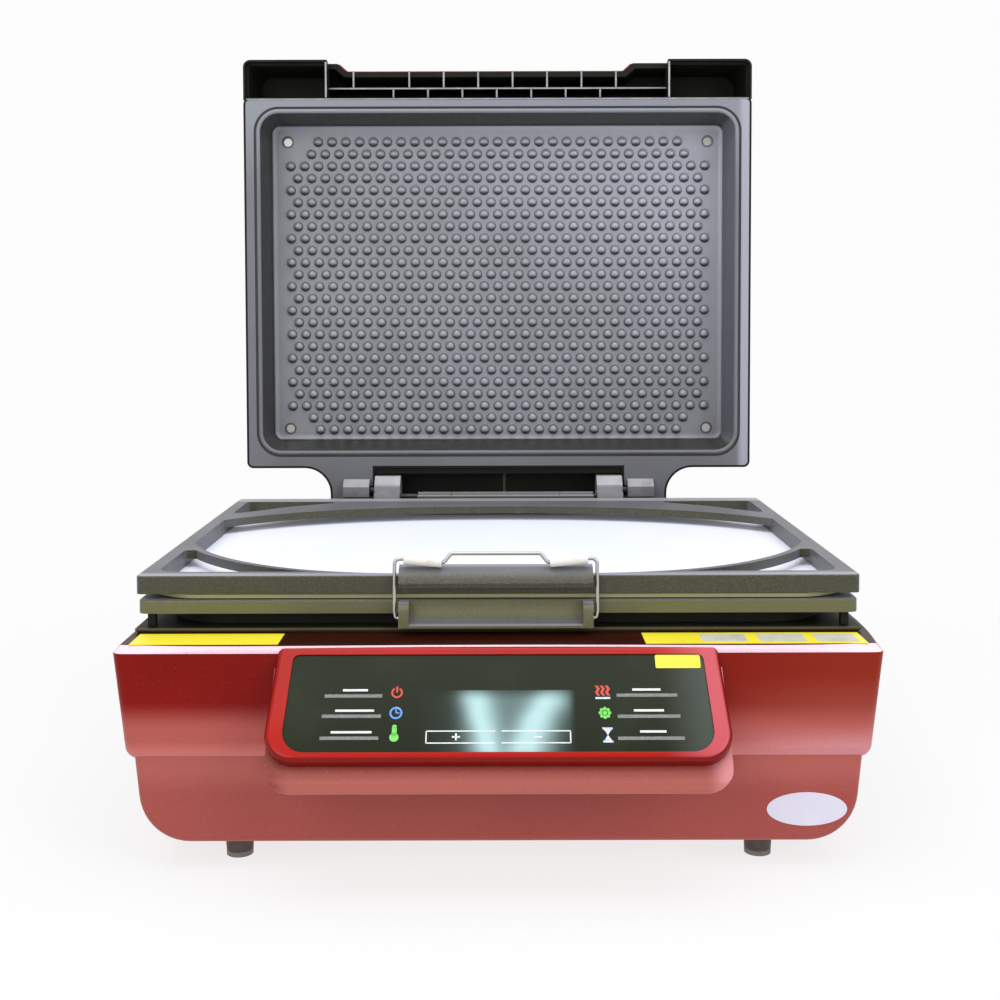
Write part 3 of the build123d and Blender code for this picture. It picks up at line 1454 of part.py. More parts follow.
def board_standoffs():
    dx, dy = main_board_width / 2 - main_board_inset, main_board_depth / 2 - main_board_inset
    return group([rod_z(standoff_radius, inner_floor, inner_floor + standoff, main_board_x + sx * dx,
                        main_board_y + sy * dy) for sx in (-1, 1) for sy in (-1, 1)])


def transformer():
    """The low-voltage transformer: an iron core round a wound bobbin."""
    w, d, h = transformer_width / 2, transformer_depth / 2, transformer_height
    x, y, z = transformer_x, transformer_y, inner_floor
    core = block(x - w, x + w, y - d + transformer_gap, y + d - transformer_gap, z, z + h)
    coil = block(x - w + transformer_yoke / 2, x + w - transformer_yoke / 2, y - d, y + d,
                 z + transformer_yoke / 2, z + h - transformer_yoke / 2)
    return core + fillet(coil.edges().filter_by(Axis.Z), 4)


def heater_relay():
    """The relay that switches the heater, with its four terminals."""
    w, d = relay_width / 2, relay_depth / 2
    x, y, z = relay_x, relay_y, inner_floor
    body = block(x - w, x + w, y - d, y + d, z, z + relay_height)
    for sx in (-1, 1):
        for sy in (-1, 1):
            px, py = x + sx * (w - 9), y + sy * (d - 9)
            body -= rod_z(5.5, z + relay_height - 4, z + relay_height + 1, px, py)
            body += rod_z(3, z + relay_height - 5, z + relay_height - 1, px, py)
    return body


def fan_middle():
    return floor_z + fan_height


def fan_frame():
    """The fan's square frame on the rear wall, with spokes to its hub."""
    rear = lower_rear - wall
    front = rear - fan_depth
    half, z = fan_size / 2, fan_middle()
    body = block(fan_x - half, fan_x + half, front, rear, z - half, z + half)
    body = fillet(body.edges().filter_by(Axis.Y), 3)
    body -= rod_y(half - fan_wall, front - 1, rear + 1, fan_x, z)
    plate = 2 * fan_spoke
    for turn in (45, -45):
        spoke = Box(fan_size - fan_wall, fan_spoke / 2, fan_spoke)
        body += Pos(fan_x, front + fan_spoke / 4, z) * Rot(0, turn, 0) * spoke
    body += rod_y(fan_hub_radius, front, front + fan_spoke / 2, fan_x, z)
    body += rod_y(fan_shaft_radius, front, front + plate, fan_x, z)
    return body


def fan_rotor():
    """The fan's hub and blades."""
    front = lower_rear - wall - fan_depth + fan_spoke / 2 + fit_gap
    rear = lower_rear - wall - 1
    tip = fan_size / 2 - fan_wall - fan_tip_gap
    middle, z = (front + rear) / 2, fan_middle()
    body = rod_y(fan_hub_radius, front, rear, fan_x, z)
    reach = tip - fan_hub_radius + 2
    width = (rear - front) / math.cos(math.radians(fan_blade_pitch)) * 0.9
    ring = rod_y(tip, front, rear, fan_x, z)
    for i in range(fan_blades):
        blade = Pos(fan_hub_radius - 2 + reach / 2, 0, 0) * Rot(fan_blade_pitch, 0, 0) * Box(reach, width,
                                                                                          fan_blade_width)
        body += (Pos(fan_x, middle, z) * Rot(0, i * 360 / fan_blades, 0) * blade) & ring
    hole = 2 * fan_spoke - fan_spoke / 2 + 1
    return body - rod_y(fan_shaft_radius + running_gap, front - 1, front - fit_gap + hole, fan_x, z)


def flanged_socket(x, width, height):
    """The shell of a socket that is pushed in through the rear wall."""
    w, h = width / 2, height / 2
    flange = block(x - w - socket_flange, x + w + socket_flange, lower_rear, lower_rear + socket_lip,
                   socket_z - h - socket_flange, socket_z + h + socket_flange)
    return fillet(flange.edges().filter_by(Axis.Y), 2) + block(x - w, x + w, lower_rear - socket_depth,
                                                               lower_rear, socket_z - h, socket_z + h)


def power_inlet():
    """The mains inlet with its three pins."""
    body = flanged_socket(inlet_x, inlet_width, inlet_height)
    w, h = inlet_width / 2 - socket_wall, inlet_height / 2 - socket_wall
    back = lower_rear - socket_depth + socket_wall
    hollow = block(inlet_x - w, inlet_x + w, back, lower_rear + socket_lip + 1, socket_z - h, socket_z + h)
    top = hollow.edges().filter_by(Axis.Y).group_by(Axis.Z)[-1]
    body -= chamfer(top, 4)
    for i, lift in ((-1, -2), (0, 2), (1, -2)):
        x, z = inlet_x + i * inlet_pin_spread, socket_z + lift
        body += block(x - 1, x + 1, back - 1, lower_rear - 3, z - 2, z + 2)
    return body


def switch_hollow(grow=0.0):
    w, h = switch_width / 2 - socket_wall + grow, switch_height / 2 - socket_wall + grow
    return block(switch_x - w, switch_x + w, lower_rear - socket_depth + socket_wall,
                 lower_rear + socket_lip + 1, socket_z - h, socket_z + h)


def switch_body():
    """The power switch's shell, with the holes that its rocker turns in."""
    body = flanged_socket(switch_x, switch_width, switch_height) - switch_hollow()
    reach = switch_width / 2 - socket_wall / 2
    return body - rod_x(rocker_pin_radius + running_gap, switch_x - reach, switch_x + reach, rocker_y, socket_z)


def switch_rocker():
    """The rocker of the power switch, resting with its lower half pressed in."""
    w = switch_width / 2 - socket_wall - rocker_gap
    h = rocker_half_height
    points = [(-rocker_back, -h / 2), (rocker_front, -h), (rocker_front - rocker_dip, 0), (rocker_front, h),
              (-rocker_back, h / 2)]
    body = sideways(outline(points), switch_x - w, switch_x + w)
    pin = switch_width / 2 - socket_wall / 2 - fit_gap
    body += rod_x(rocker_pin_radius, switch_x - pin, switch_x + pin, 0, 0)
    return Pos(0, rocker_y, socket_z) * Rot(-rocker_throw / 2, 0, 0) * body


def fuse_holder():
    """The fuse holder with its slotted cap."""
    body = rod_y(fuse_radius, lower_rear - 1.5 * socket_depth, lower_rear, fuse_x, socket_z)
    cap = rod_y(fuse_radius + socket_flange, lower_rear, lower_rear + 3 * socket_lip, fuse_x, socket_z)
    slot = block(fuse_x - fuse_radius, fuse_x + fuse_radius, lower_rear + 2 * socket_lip,
                 lower_rear + 4 * socket_lip, socket_z - 0.7, socket_z + 0.7)
    return body + cap - slot


nodes = {
    "lower_housing": lower_housing,
    "upper_housing": upper_housing,
    "housing_screws": housing_screws,
    "feet": feet,
    "foot_pads": foot_pads,
    "foot_screws": foot_screws,
    "console_box": console_box,
    "console_bezel": console_bezel,
    "panel_glass": panel_glass,
    "display_board": display_board,
    "labels": deck_labels,
    "oval_badge": oval_badge,
    "base_plate": base_plate,
    "chamber_tray": chamber_tray,
    "platform": platform,
    "platform_spacers": platform_spacers,
    "chamber_seal": chamber_seal,
    "rest_posts": rest_posts,
    "upper_frame": upper_frame,
    "film": film,
    "lower_frame": lower_frame,
    "film_hinge_leaf": film_hinge_leaf,
    "leaf_screws": leaf_screws,
    "latch_bail": latch_bail,
    "bail_sleeves": bail_sleeves,
    "hinge_brackets": hinge_brackets,
    "bracket_screws": bracket_screws,
    "lid_hinge_pins": lid_hinge_pins,
    "film_hinge_pin": film_hinge_pin,
    "lid_bumpers": lid_bumpers,
    "lid_shell": lid_shell,
    "lid_liner": lid_liner,
    "lid_plate": lid_plate,
    "lid_bosses": lid_bosses,
    "heater_tray": heater_tray,
    "tray_screws": tray_screws,
    "heater_element": heater_element,
    "insulation": insulation,
    "heater_cover": heater_cover,
    "thermal_cutout": thermal_cutout,
    "vacuum_port": vacuum_port,
    "vacuum_hose": vacuum_hose,
    "pump_body": pump_body,
    "pump_head": pump_head,
    "pump_rotor": pump_rotor,
    "pump_mounts": pump_mounts,
    "release_valve": release_valve,
    "main_board": main_board,
    "board_standoffs": board_standoffs,
    "transformer": transformer,
    "heater_relay": heater_relay,
    "fan_frame": fan_frame,
    "fan_rotor": fan_rotor,
    "power_inlet": power_inlet,
    "switch_body": switch_body,
    "switch_rocker": switch_rocker,
    "fuse_holder": fuse_holder,
}

os.makedirs("parts", exist_ok=True)
for name, make in nodes.items():
    shape = make()
    export_step(shape, f"parts/{name}.step")
    print(name, len(shape.solids()), "solids", round(shape.volume))
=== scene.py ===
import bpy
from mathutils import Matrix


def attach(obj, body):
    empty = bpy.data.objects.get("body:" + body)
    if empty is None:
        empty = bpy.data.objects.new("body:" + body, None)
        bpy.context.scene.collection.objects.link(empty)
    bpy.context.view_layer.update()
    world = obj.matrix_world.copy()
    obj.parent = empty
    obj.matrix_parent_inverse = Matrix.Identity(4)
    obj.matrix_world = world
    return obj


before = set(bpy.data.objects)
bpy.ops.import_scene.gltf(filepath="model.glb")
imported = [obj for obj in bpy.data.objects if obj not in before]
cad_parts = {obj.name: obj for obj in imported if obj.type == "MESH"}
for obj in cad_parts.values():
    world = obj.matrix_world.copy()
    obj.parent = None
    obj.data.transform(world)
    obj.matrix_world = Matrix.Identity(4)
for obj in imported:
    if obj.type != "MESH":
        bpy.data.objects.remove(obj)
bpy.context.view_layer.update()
import math

import bpy
from mathutils import Matrix, Vector

MM = 0.001

# places of the solids that the scene's pieces sit on, in millimetres
DECK = 151.5               # top of the deck
LID_FACE = 196.1           # front of the lid's plate
LID_TOP = 569.9            # upper edge of the lid's plate
NOSE_TOP = 608.0           # top of the lid
NOSE_DEPTH = 16.0          # the nose's ribs start this far behind the plate's front
POCKET_DEPTH = 25.7        # the hinge pocket's back wall, behind the plate's front
TRAY_MID = 395.4           # middle height of the tray
TRAY_BACK = 236.5          # floor of the tray
SLOPE_FRONT = -229.0       # upper edge of the console's slope
SLOPE_TOP = 150.0
SLOPE_RUN, SLOPE_RISE = 50.0, 57.0
SLOPE_LENGTH = math.hypot(SLOPE_RUN, SLOPE_RISE)
SLOPE_OUT = Vector((0, -SLOPE_RISE / SLOPE_LENGTH, SLOPE_RUN / SLOPE_LENGTH))
SLOPE_UP = Vector((0, SLOPE_RUN / SLOPE_LENGTH, SLOPE_RISE / SLOPE_LENGTH))


# ---------------------------------------------------------------- materials
class Wiring:
    """Nodes and links of one node tree. A value is another node's output, a number, a vector or a colour."""

    def __init__(self, tree):
        self.tree = tree

    def feed(self, socket, value):
        if isinstance(value, bpy.types.NodeSocket):
            self.tree.links.new(value, socket)
        elif socket.type == "RGBA":
            socket.default_value = (*value, 1)
        else:
            socket.default_value = value

    def node(self, kind, inputs=(), **settings):
        made = self.tree.nodes.new("ShaderNode" + kind)
        for name, value in settings.items():
            setattr(made, name, value)
        for key, value in dict(inputs).items():
            self.feed(made.inputs[key], value)
        return made

    def noise(self, where, scale, detail=3.0):
        return self.node("TexNoise", {"Vector": where, "Scale": scale, "Detail": detail}).outputs["Fac"]

    def ramp(self, value, low, high, start=0.0):
        """A soft step from start, at low, to one, at high."""
        inputs = {"Value": value, "From Min": low, "From Max": high, "To Min": start}
        return self.node("MapRange", inputs, interpolation_type="SMOOTHSTEP").outputs["Result"]

    def mix(self, factor, a, b):
        return self.node("Mix", {"Factor": factor, "A": a, "B": b}, data_type="RGBA").outputs["Result"]

    def calc(self, kind, a, b=0.0, clamp=False):
        return self.node("Math", {0: a, 1: b}, operation=kind, use_clamp=clamp).outputs["Value"]


def zone_share(wires, sources, limits):
    """How far a point lies within all the limits, from 0 to 1."""
    share = None
    for what, direction, low, high in limits:
        along = wires.node("VectorMath", {0: sources[what], 1: direction}, operation="DOT_PRODUCT")
        part = wires.ramp(along.outputs["Value"], low, high)
        share = part if share is None else wires.calc("MULTIPLY", share, part)
    return share


def material(name, color, rough=0.5, metal=0.0, coat=0.0, coat_rough=0.08, spec=0.5, mottle=None,
             sparkle=None, bump=None, wear=None, emission=0.0, zones=()):
    """A procedural material. mottle and sparkle: (scale, other colour, low, high) of a noise;
    bump: (scale, height in mm); wear: (scale, low, high roughness); zones: (colour, [(what, direction,
    low, high), ...]), where what is the place ("at", in metres) or the normal ("facing")."""
    made = bpy.data.materials.new(name)
    made.use_nodes = True
    wires = Wiring(made.node_tree)
    spot = wires.node("TexCoord")
    where = spot.outputs["Object"]
    sources = {"at": where, "facing": spot.outputs["Normal"]}
    tone = color
    if mottle:
        scale, other, low, high = mottle
        tone = wires.mix(wires.ramp(wires.noise(where, scale), low, high), color, other)
    for other, limits in zones:
        tone = wires.mix(zone_share(wires, sources, limits), tone, other)
    if sparkle:
        scale, other, low, high = sparkle
        tone = wires.mix(wires.ramp(wires.noise(where, scale, 0.0), low, high), tone, other)
    inputs = {"Base Color": tone, "Roughness": rough, "Metallic": metal, "Coat Weight": coat,
              "Coat Roughness": coat_rough, "Specular IOR Level": spec, "Emission Strength": emission}
    if emission:
        inputs["Emission Color"] = tone
    if wear:
        scale, low, high = wear
        worn = wires.node("MapRange", {"Value": wires.noise(where, scale), "To Min": low, "To Max": high})
        inputs["Roughness"] = worn.outputs["Result"]
    if bump:
        scale, height = bump
        relief = {"Height": wires.noise(where, scale), "Distance": height * MM, "Strength": 1.0}
        inputs["Normal"] = wires.node("Bump", relief).outputs["Normal"]
    shader = made.node_tree.nodes["Principled BSDF"]
    for key, value in inputs.items():
        wires.feed(shader.inputs[key], value)
    return made


UP, DOWN, FRONTWARD, RIGHT, LEFTWARD = (0, 0, 1), (0, 0, -1), (0, -1, 0), (1, 0, 0), (-1, 0, 0)
SLOPE_FACING = (0, -0.752, 0.660)
# limits that several zones share
# RIGHT_SIDE, LID_GLOW, LEVEL and FRONT_FACE place painted light and shade: a lit right side, a lit upper
# right of the lid, lit level tops, shaded front faces
RIGHT_SIDE = ("at", RIGHT, 0.10, 0.24)
LID_GLOW = ("at", (0.4, 0, 0.9), 0.33, 0.60)
LEVEL = ("facing", UP, 0.9, 0.98)
FRONT_FACE = ("facing", FRONTWARD, 0.5, 0.9)
# shares of a noise between which the other colour comes in
SOFT, WIDE, FINE, SPARSE = (0.40, 0.70), (0.35, 0.70), (0.66, 0.82), (0.68, 0.84)

RED = material("red_gloss", (0.30, 0.008, 0.004), 0.34, 0.2, coat=0.25, coat_rough=0.12, spec=0.3,
               sparkle=(2600, (0.44, 0.03, 0.02), 0.60, 0.75), mottle=(9, (0.25, 0.007, 0.003), *SOFT))
COVER = material("red_cover", (0.235, 0.004, 0.001), 0.34, coat=0.03, coat_rough=0.12, spec=0.10,
                 mottle=(9, (0.20, 0.003, 0.001), *SOFT), sparkle=(2600, (0.34, 0.04, 0.03), *SPARSE),
                 # painted light: the right side and the lower front paler, in steps towards the bottom edge,
                 # palest low on the right
                 zones=[((0.25, 0.018, 0.006), [RIGHT_SIDE]),
                        ((0.30, 0.045, 0.030), [("at", UP, 0.135, 0.108), RIGHT_SIDE]),
                        ((0.44, 0.10, 0.085), [("at", UP, 0.114, 0.094)]),
                        ((0.58, 0.175, 0.160), [("at", UP, 0.088, 0.077)]),
                        ((0.60, 0.24, 0.25), [RIGHT_SIDE, ("at", UP, 0.100, 0.080)]),
                        # painted shade darkens the deck's top face, and a painted highlight lies along the
                        # deck's front bevel
                        ((0.018, 0.003, 0.001), [("at", UP, 0.15120, 0.15145)]),
                        ((0.93, 0.68, 0.78), [("at", FRONTWARD, 0.2234, 0.2238),
                                              ("at", UP, 0.1463, 0.1466), ("at", UP, 0.15130, 0.1511)])])
BEZEL = material("red_bezel", (0.39, 0.006, 0.001), 0.25, coat=0.14, spec=0.12,
                 mottle=(14, (0.34, 0.006, 0.002), *SOFT),
                 # painted light on the bezel's right end, and painted shade on the faces that turn away from
                 # the slope
                 zones=[((0.52, 0.08, 0.10), [("at", RIGHT, 0.100, 0.138)]),
                        ((0.20, 0.003, 0.001), [("facing", SLOPE_FACING, 0.96, 0.80)])])
DUSK = material("red_dusk", (0.345, 0.060, 0.048), 0.45, coat=0.1, coat_rough=0.25, spec=0.3,
                sparkle=(2400, (0.44, 0.11, 0.09), *FINE), mottle=(7, (0.315, 0.053, 0.043), *SOFT),
                # painted highlight on the upper part of the lower housing, and a painted shadow under the
                # console's skirt
                zones=[((0.40, 0.088, 0.072), [("at", UP, 0.048, 0.068)]),
                       ((0.20, 0.026, 0.018), [("at", UP, 0.058, 0.070), ("at", RIGHT, -0.165, -0.140),
                                               ("at", RIGHT, 0.165, 0.140)])])
SKIRT = material("red_skirt", (0.41, 0.100, 0.080), 0.45, coat=0.1, coat_rough=0.25, spec=0.3,
                 sparkle=(2400, (0.50, 0.14, 0.12), *FINE),
                 # painted shadow of the bezel over the skirt's top, painted shade on its left end and a
                 # painted highlight on its right end
                 zones=[((0.31, 0.060, 0.042), [("at", UP, 0.0765, 0.0825)]),
                        ((0.13, 0.014, 0.006), [("at", UP, 0.0835, 0.0895)]),
                        ((0.22, 0.028, 0.018), [("at", RIGHT, -0.128, -0.142)]),
                        ((0.60, 0.21, 0.22), [("at", RIGHT, 0.128, 0.142)])])
FRAME = material("frame_grey", (0.145, 0.146, 0.160), metal=0.15, mottle=(18, (0.12, 0.12, 0.13), *WIDE),
                 # painted highlights on the front and rear strips of the top faces, painted shade on the
                 # front faces, less dark below the film line
                 zones=[((0.33, 0.33, 0.36), [LEVEL, ("at", FRONTWARD, 0.178, 0.186)]),
                        ((0.36, 0.36, 0.39), [LEVEL, ("at", FRONTWARD, -0.150, -0.160)]),
                        ((0.040, 0.040, 0.019), [FRONT_FACE]),
                        ((0.125, 0.120, 0.050), [FRONT_FACE, ("at", UP, 0.1735, 0.1730)])],
                 sparkle=(2800, (0.30, 0.29, 0.28), *FINE), bump=(1500, 0.05))
PLATE = material("plate_grey", (0.150, 0.152, 0.165), 0.42, 0.2, mottle=(12, (0.13, 0.132, 0.14), *WIDE),
                 # painted light on the plate's upper part, and a painted reflection in a strip along its
                 # right edge
                 zones=[((0.21, 0.225, 0.255), [("at", UP, 0.46, 0.57)]),
                        ((0.34, 0.34, 0.40), [("at", RIGHT, 0.229, 0.236)])],
                 sparkle=(2600, (0.26, 0.26, 0.30), *FINE), bump=(1500, 0.03))
TRAY = material("tray_grey", (0.245, 0.250, 0.272), 0.42, 0.15, mottle=(12, (0.20, 0.205, 0.22), *WIDE),
                # painted light on the lid's upper right, painted shade on the walls turned away from the
                # front, less dark on the right wall facing left
                zones=[((0.40, 0.41, 0.47), [LID_GLOW]),
                       ((0.022, 0.023, 0.016), [("facing", FRONTWARD, 0.80, 0.55)]),
                       ((0.120, 0.128, 0.150), [("facing", LEFTWARD, 0.60, 0.90)])],
                sparkle=(2600, (0.34, 0.34, 0.38), *FINE), bump=(1500, 0.03))
DOMES = material("dome_grey", (0.250, 0.252, 0.278), 0.32, 0.25,
                 # painted light on the lid's upper right, painted shade on the domes' lower sides and steep
                 # flanks
                 zones=[((0.42, 0.43, 0.50), [LID_GLOW]),
                        ((0.050, 0.051, 0.052), [("facing", DOWN, 0.05, 0.60)]),
                        ((0.035, 0.036, 0.034), [("facing", FRONTWARD, 0.52, 0.36)])],
                 sparkle=(2600, (0.34, 0.33, 0.38), *SPARSE), bump=(1500, 0.02))
BLACK = material("black_moulding", (0.007, 0.008, 0.005), 0.6, spec=0.15,
                 mottle=(30, (0.010, 0.011, 0.007), *SOFT), bump=(1800, 0.03))
SHEET = material("black_sheet", (0.009, 0.009, 0.005), spec=0.12, mottle=(20, (0.014, 0.013, 0.007), *SOFT),
                 # painted light: the base plate lighter where it reaches out in front of the frames
                 zones=[((0.100, 0.085, 0.048), [("at", FRONTWARD, 0.1912, 0.1916)])])
GLASS = material("console_glass", (0.014, 0.018, 0.008), 0.16, spec=0.10,
                 mottle=(22, (0.019, 0.026, 0.012), 0.45, 0.75),
                 # painted light on the right part of the glass
                 zones=[((0.060, 0.072, 0.058), [("at", RIGHT, 0.100, 0.135)])])
FILM = material("film_white", (0.82, 0.84, 0.93), 0.42, spec=0.3, mottle=(6, (0.79, 0.82, 0.93), *SOFT),
                # painted shade where the film's edge shows between the frames: dark shadow lines with a dim
                # olive band between them
                zones=[((0.020, 0.020, 0.012), [("at", UP, 0.1772, 0.1769)]),
                       ((0.32, 0.31, 0.15), [("at", UP, 0.1740, 0.1742), ("at", UP, 0.1767, 0.1764)])],
                # the faint emission is painted light that brightens the film
                emission=0.09)
STEEL = material("steel", (0.42, 0.41, 0.39), 0.30, 1.0, wear=(60, 0.22, 0.42))
TIN = material("tin", (0.50, 0.50, 0.49), 0.38, 0.9, wear=(40, 0.30, 0.5))
HEAD = material("bracket_alloy", (0.30, 0.30, 0.315), 0.40, 0.4, mottle=(80, (0.25, 0.25, 0.26), *SOFT),
                bump=(900, 0.04))
ALLOY = material("alloy", (0.22, 0.22, 0.23), 0.38, 0.6, mottle=(80, (0.17, 0.17, 0.17), *SOFT),
                 bump=(900, 0.04))
RUBBER = material("seal_rubber", (0.009, 0.009, 0.006), 0.6, spec=0.2,
                  mottle=(50, (0.013, 0.013, 0.010), *SOFT))
FOOT = material("foot_rubber", (0.055, 0.034, 0.026), 0.55, mottle=(120, (0.08, 0.055, 0.045), *SOFT))
FOOT_RIM = material("foot_rim", (0.16, 0.15, 0.15), mottle=(120, (0.12, 0.11, 0.11), *SOFT))
SLEEVE = material("sleeve_white", (0.80, 0.78, 0.74), 0.45, mottle=(160, (0.70, 0.64, 0.54), 0.5, 0.75))
YELLOW = material("sticker_yellow", (0.90, 0.78, 0.035), 0.4, mottle=(25, (0.86, 0.73, 0.03), *SOFT))
PANEL = material("sticker_panel", (0.62, 0.60, 0.50), 0.4, mottle=(60, (0.50, 0.49, 0.42), *SOFT))
BADGE = material("badge_pale", (0.70, 0.68, 0.78), 0.35, mottle=(30, (0.66, 0.64, 0.76), *SOFT))
BOARD = material("board_green", (0.02, 0.12, 0.05), 0.4, mottle=(70, (0.03, 0.16, 0.07), *SOFT))
HOSE = material("hose_clear", (0.62, 0.60, 0.54), 0.35, mottle=(80, (0.55, 0.53, 0.47), *SOFT))
MAT = material("mat_white", (0.70, 0.69, 0.64), 0.9, bump=(500, 0.4))
IRON = material("iron", (0.14, 0.14, 0.145), 0.45, 0.7, mottle=(60, (0.10, 0.10, 0.10), *SOFT))
PIN = material("dark_pin", (0.05, 0.05, 0.048), 0.45, 0.6, mottle=(90, (0.03, 0.03, 0.028), *SOFT))
MARK_WHITE = material("mark_white", (0.74, 0.76, 0.76), 0.4, mottle=(200, (0.62, 0.65, 0.64), *SOFT))
MARK_GREY = material("mark_grey", (0.12, 0.13, 0.115), 0.4, sparkle=(3000, (0.26, 0.27, 0.26), 0.5, 0.6))
MARK_RED = material("mark_red", (0.60, 0.05, 0.025), 0.4, mottle=(200, (0.5, 0.04, 0.02), *SOFT))
MARK_BLUE = material("mark_blue", (0.10, 0.28, 0.72), 0.4, mottle=(200, (0.2, 0.4, 0.8), *SOFT))
MARK_PALE = material("mark_pale", (0.42, 0.55, 0.78), 0.4, mottle=(900, (0.80, 0.84, 0.88), 0.45, 0.6))
MARK_GREEN = material("mark_green", (0.14, 0.58, 0.08), 0.4, mottle=(200, (0.2, 0.66, 0.12), *SOFT))
# painted highlight for the fronts of the nose's ribs and edges
PALE_EDGE = material("pale_edge", (0.30, 0.29, 0.31), 0.45, mottle=(90, (0.42, 0.41, 0.42), *SOFT))
OLIVE = material("olive_edge", (0.060, 0.064, 0.042), mottle=(90, (0.045, 0.048, 0.030), *SOFT))
DARK_GROOVE = material("dark_groove", (0.012, 0.012, 0.010), 0.6, mottle=(90, (0.02, 0.02, 0.015), *SOFT))

looks = {
    RED: ["lid_shell"], COVER: ["upper_housing"], BEZEL: ["console_bezel"], DUSK: ["lower_housing"],
    SKIRT: ["console_box"], FRAME: ["upper_frame", "lower_frame", "film_hinge_leaf"], PLATE: ["lid_plate"],
    TRAY: ["heater_tray"], PIN: ["lid_hinge_pins", "film_hinge_pin"],
    BLACK: ["lid_liner", "thermal_cutout", "heater_relay", "fan_frame", "fan_rotor", "power_inlet",
            "switch_body", "switch_rocker", "fuse_holder"],
    SHEET: ["base_plate"], GLASS: ["panel_glass"], FILM: ["film"],
    STEEL: ["housing_screws", "foot_screws", "leaf_screws", "latch_bail", "bracket_screws",
            "heater_element", "vacuum_port", "platform_spacers", "tray_screws"],
    TIN: ["chamber_tray", "platform", "heater_cover"], HEAD: ["hinge_brackets"],
    ALLOY: ["lid_bosses", "pump_head"], FOOT: ["feet"], FOOT_RIM: ["foot_pads"],
    RUBBER: ["chamber_seal", "rest_posts", "lid_bumpers", "pump_mounts"],
    SLEEVE: ["bail_sleeves", "board_standoffs"], YELLOW: ["labels"], BADGE: ["oval_badge"],
    BOARD: ["display_board", "main_board"], HOSE: ["vacuum_hose"], MAT: ["insulation"],
    IRON: ["pump_body", "pump_rotor", "release_valve", "transformer"],
}
for look, names in looks.items():
    for name in names:
        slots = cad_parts[name].data.materials
        slots.clear()
        slots.append(look)


# ---------------------------------------------------------------- helpers
def put_in(name, data):
    """An object in the scene for a mesh, lamp or camera."""
    made = bpy.data.objects.new(name, data)
    bpy.context.scene.collection.objects.link(made)
    return made


def piece(name, points, faces, look, body, smooth=False):
    """A mesh from points in millimetres that rides on a body."""
    mesh = bpy.data.meshes.new(name)
    mesh.from_pydata([Vector(p) * MM for p in points], [], faces)
    mesh.materials.append(look)
    mesh.update()
    for face in mesh.polygons:
        face.use_smooth = smooth
    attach(put_in(name, mesh), body)


class Heap:
    """Points and faces of several prisms that become one piece."""

    def __init__(self):
        self.points, self.faces = [], []

    def prism(self, outline, lift):
        """A plate: outline is its back edge in space, lift the vector to its front."""
        start, count = len(self.points), len(outline)
        self.points += [Vector(p) for p in outline] + [Vector(p) + lift for p in outline]
        self.faces.append([start + count + i for i in range(count)])
        self.faces.append([start + i for i in reversed(range(count))])
        for i in range(count):
            j = (i + 1) % count
            self.faces.append([start + i, start + j, start + count + j, start + count + i])

    def box(self, x0, x1, y0, y1, z0, z1):
        self.prism([(x0, y0, z0), (x1, y0, z0), (x1, y1, z0), (x0, y1, z0)], Vector((0, 0, z1 - z0)))

    def place(self, name, look, body):
        piece(name, self.points, self.faces, look, body)


# ---------------------------------------------------------------- console marks
# on the slope: x across, y up from its upper edge, depth below it
MARK_DEPTH, MARK_THICK = 0.97, 0.1


def on_slope(x, y, depth):
    return Vector((x, SLOPE_FRONT, SLOPE_TOP)) + y * SLOPE_UP - depth * SLOPE_OUT


def slope_plate(heap, outline, thick=MARK_THICK, depth=MARK_DEPTH):
    heap.prism([on_slope(x, y, depth) for x, y in outline], SLOPE_OUT * thick)


def rect(x, y, w, h):
    return [(x - w / 2, y - h / 2), (x + w / 2, y - h / 2), (x + w / 2, y + h / 2), (x - w / 2, y + h / 2)]


def bar(heap, x, y, w, h):
    slope_plate(heap, rect(x, y, w, h))


def arc_strip(heap, cx, cy, r, width, start, end, steps=20):
    """A curved strip between two angles in degrees."""
    for i in range(steps):
        a = math.radians(start + (end - start) * i / steps)
        b = math.radians(start + (end - start) * (i + 1) / steps)
        corners = ((r - width / 2, a), (r + width / 2, a), (r + width / 2, b), (r - width / 2, b))
        slope_plate(heap, [(cx + s * math.cos(t), cy + s * math.sin(t)) for s, t in corners])


def disc(heap, cx, cy, r, steps=20):
    turns = [2 * math.pi * i / steps for i in range(steps)]
    slope_plate(heap, [(cx + r * math.cos(a), cy + r * math.sin(a)) for a in turns])


# beside each sign, as (middle x, middle y, width): a long bar and a short line above it
KEY_BARS = ((-92.0, -32.8, 36.5), (-92.4, -46.4, 37.2), (-93.0, -60.9, 36.5),
            (94.5, -32.7, 38.5), (94.8, -46.9, 39.5), (95.3, -61.4, 41.5))
KEY_LINES = ((-91.0, -28.9, 16.0), (-90.6, -42.7, 24.5), (-91.9, -57.0, 25.5),
             (94.4, -28.9, 18.0), (95.0, -43.0, 19.0), (96.7, -57.0, 16.5))
BAR_HEIGHT, LINE_HEIGHT = 2.2, 1.5
STROKE = 1.2               # of the power sign and the clock


def outlined_keys(heap):
    """The two keys under the display, open towards each other, with a plus and a minus."""
    inner_x, outer_x, top, bottom, line = 1.9, 45.4, -56.4, -64.2, 0.8
    for side in (-1, 1):
        middle, reach = side * (inner_x + outer_x) / 2, outer_x - inner_x
        for y in (top, bottom):
            bar(heap, middle, y, reach, line)
        bar(heap, side * (outer_x - line / 2), (top + bottom) / 2, line, top - bottom + line)
    plus, minus, wide, tall, thin = (-26.4, -60.2), (24.7, -60.3), 5.0, 4.6, 1.1
    bar(heap, *plus, wide, thin)
    bar(heap, *plus, thin, tall)
    bar(heap, *minus, wide, thin)


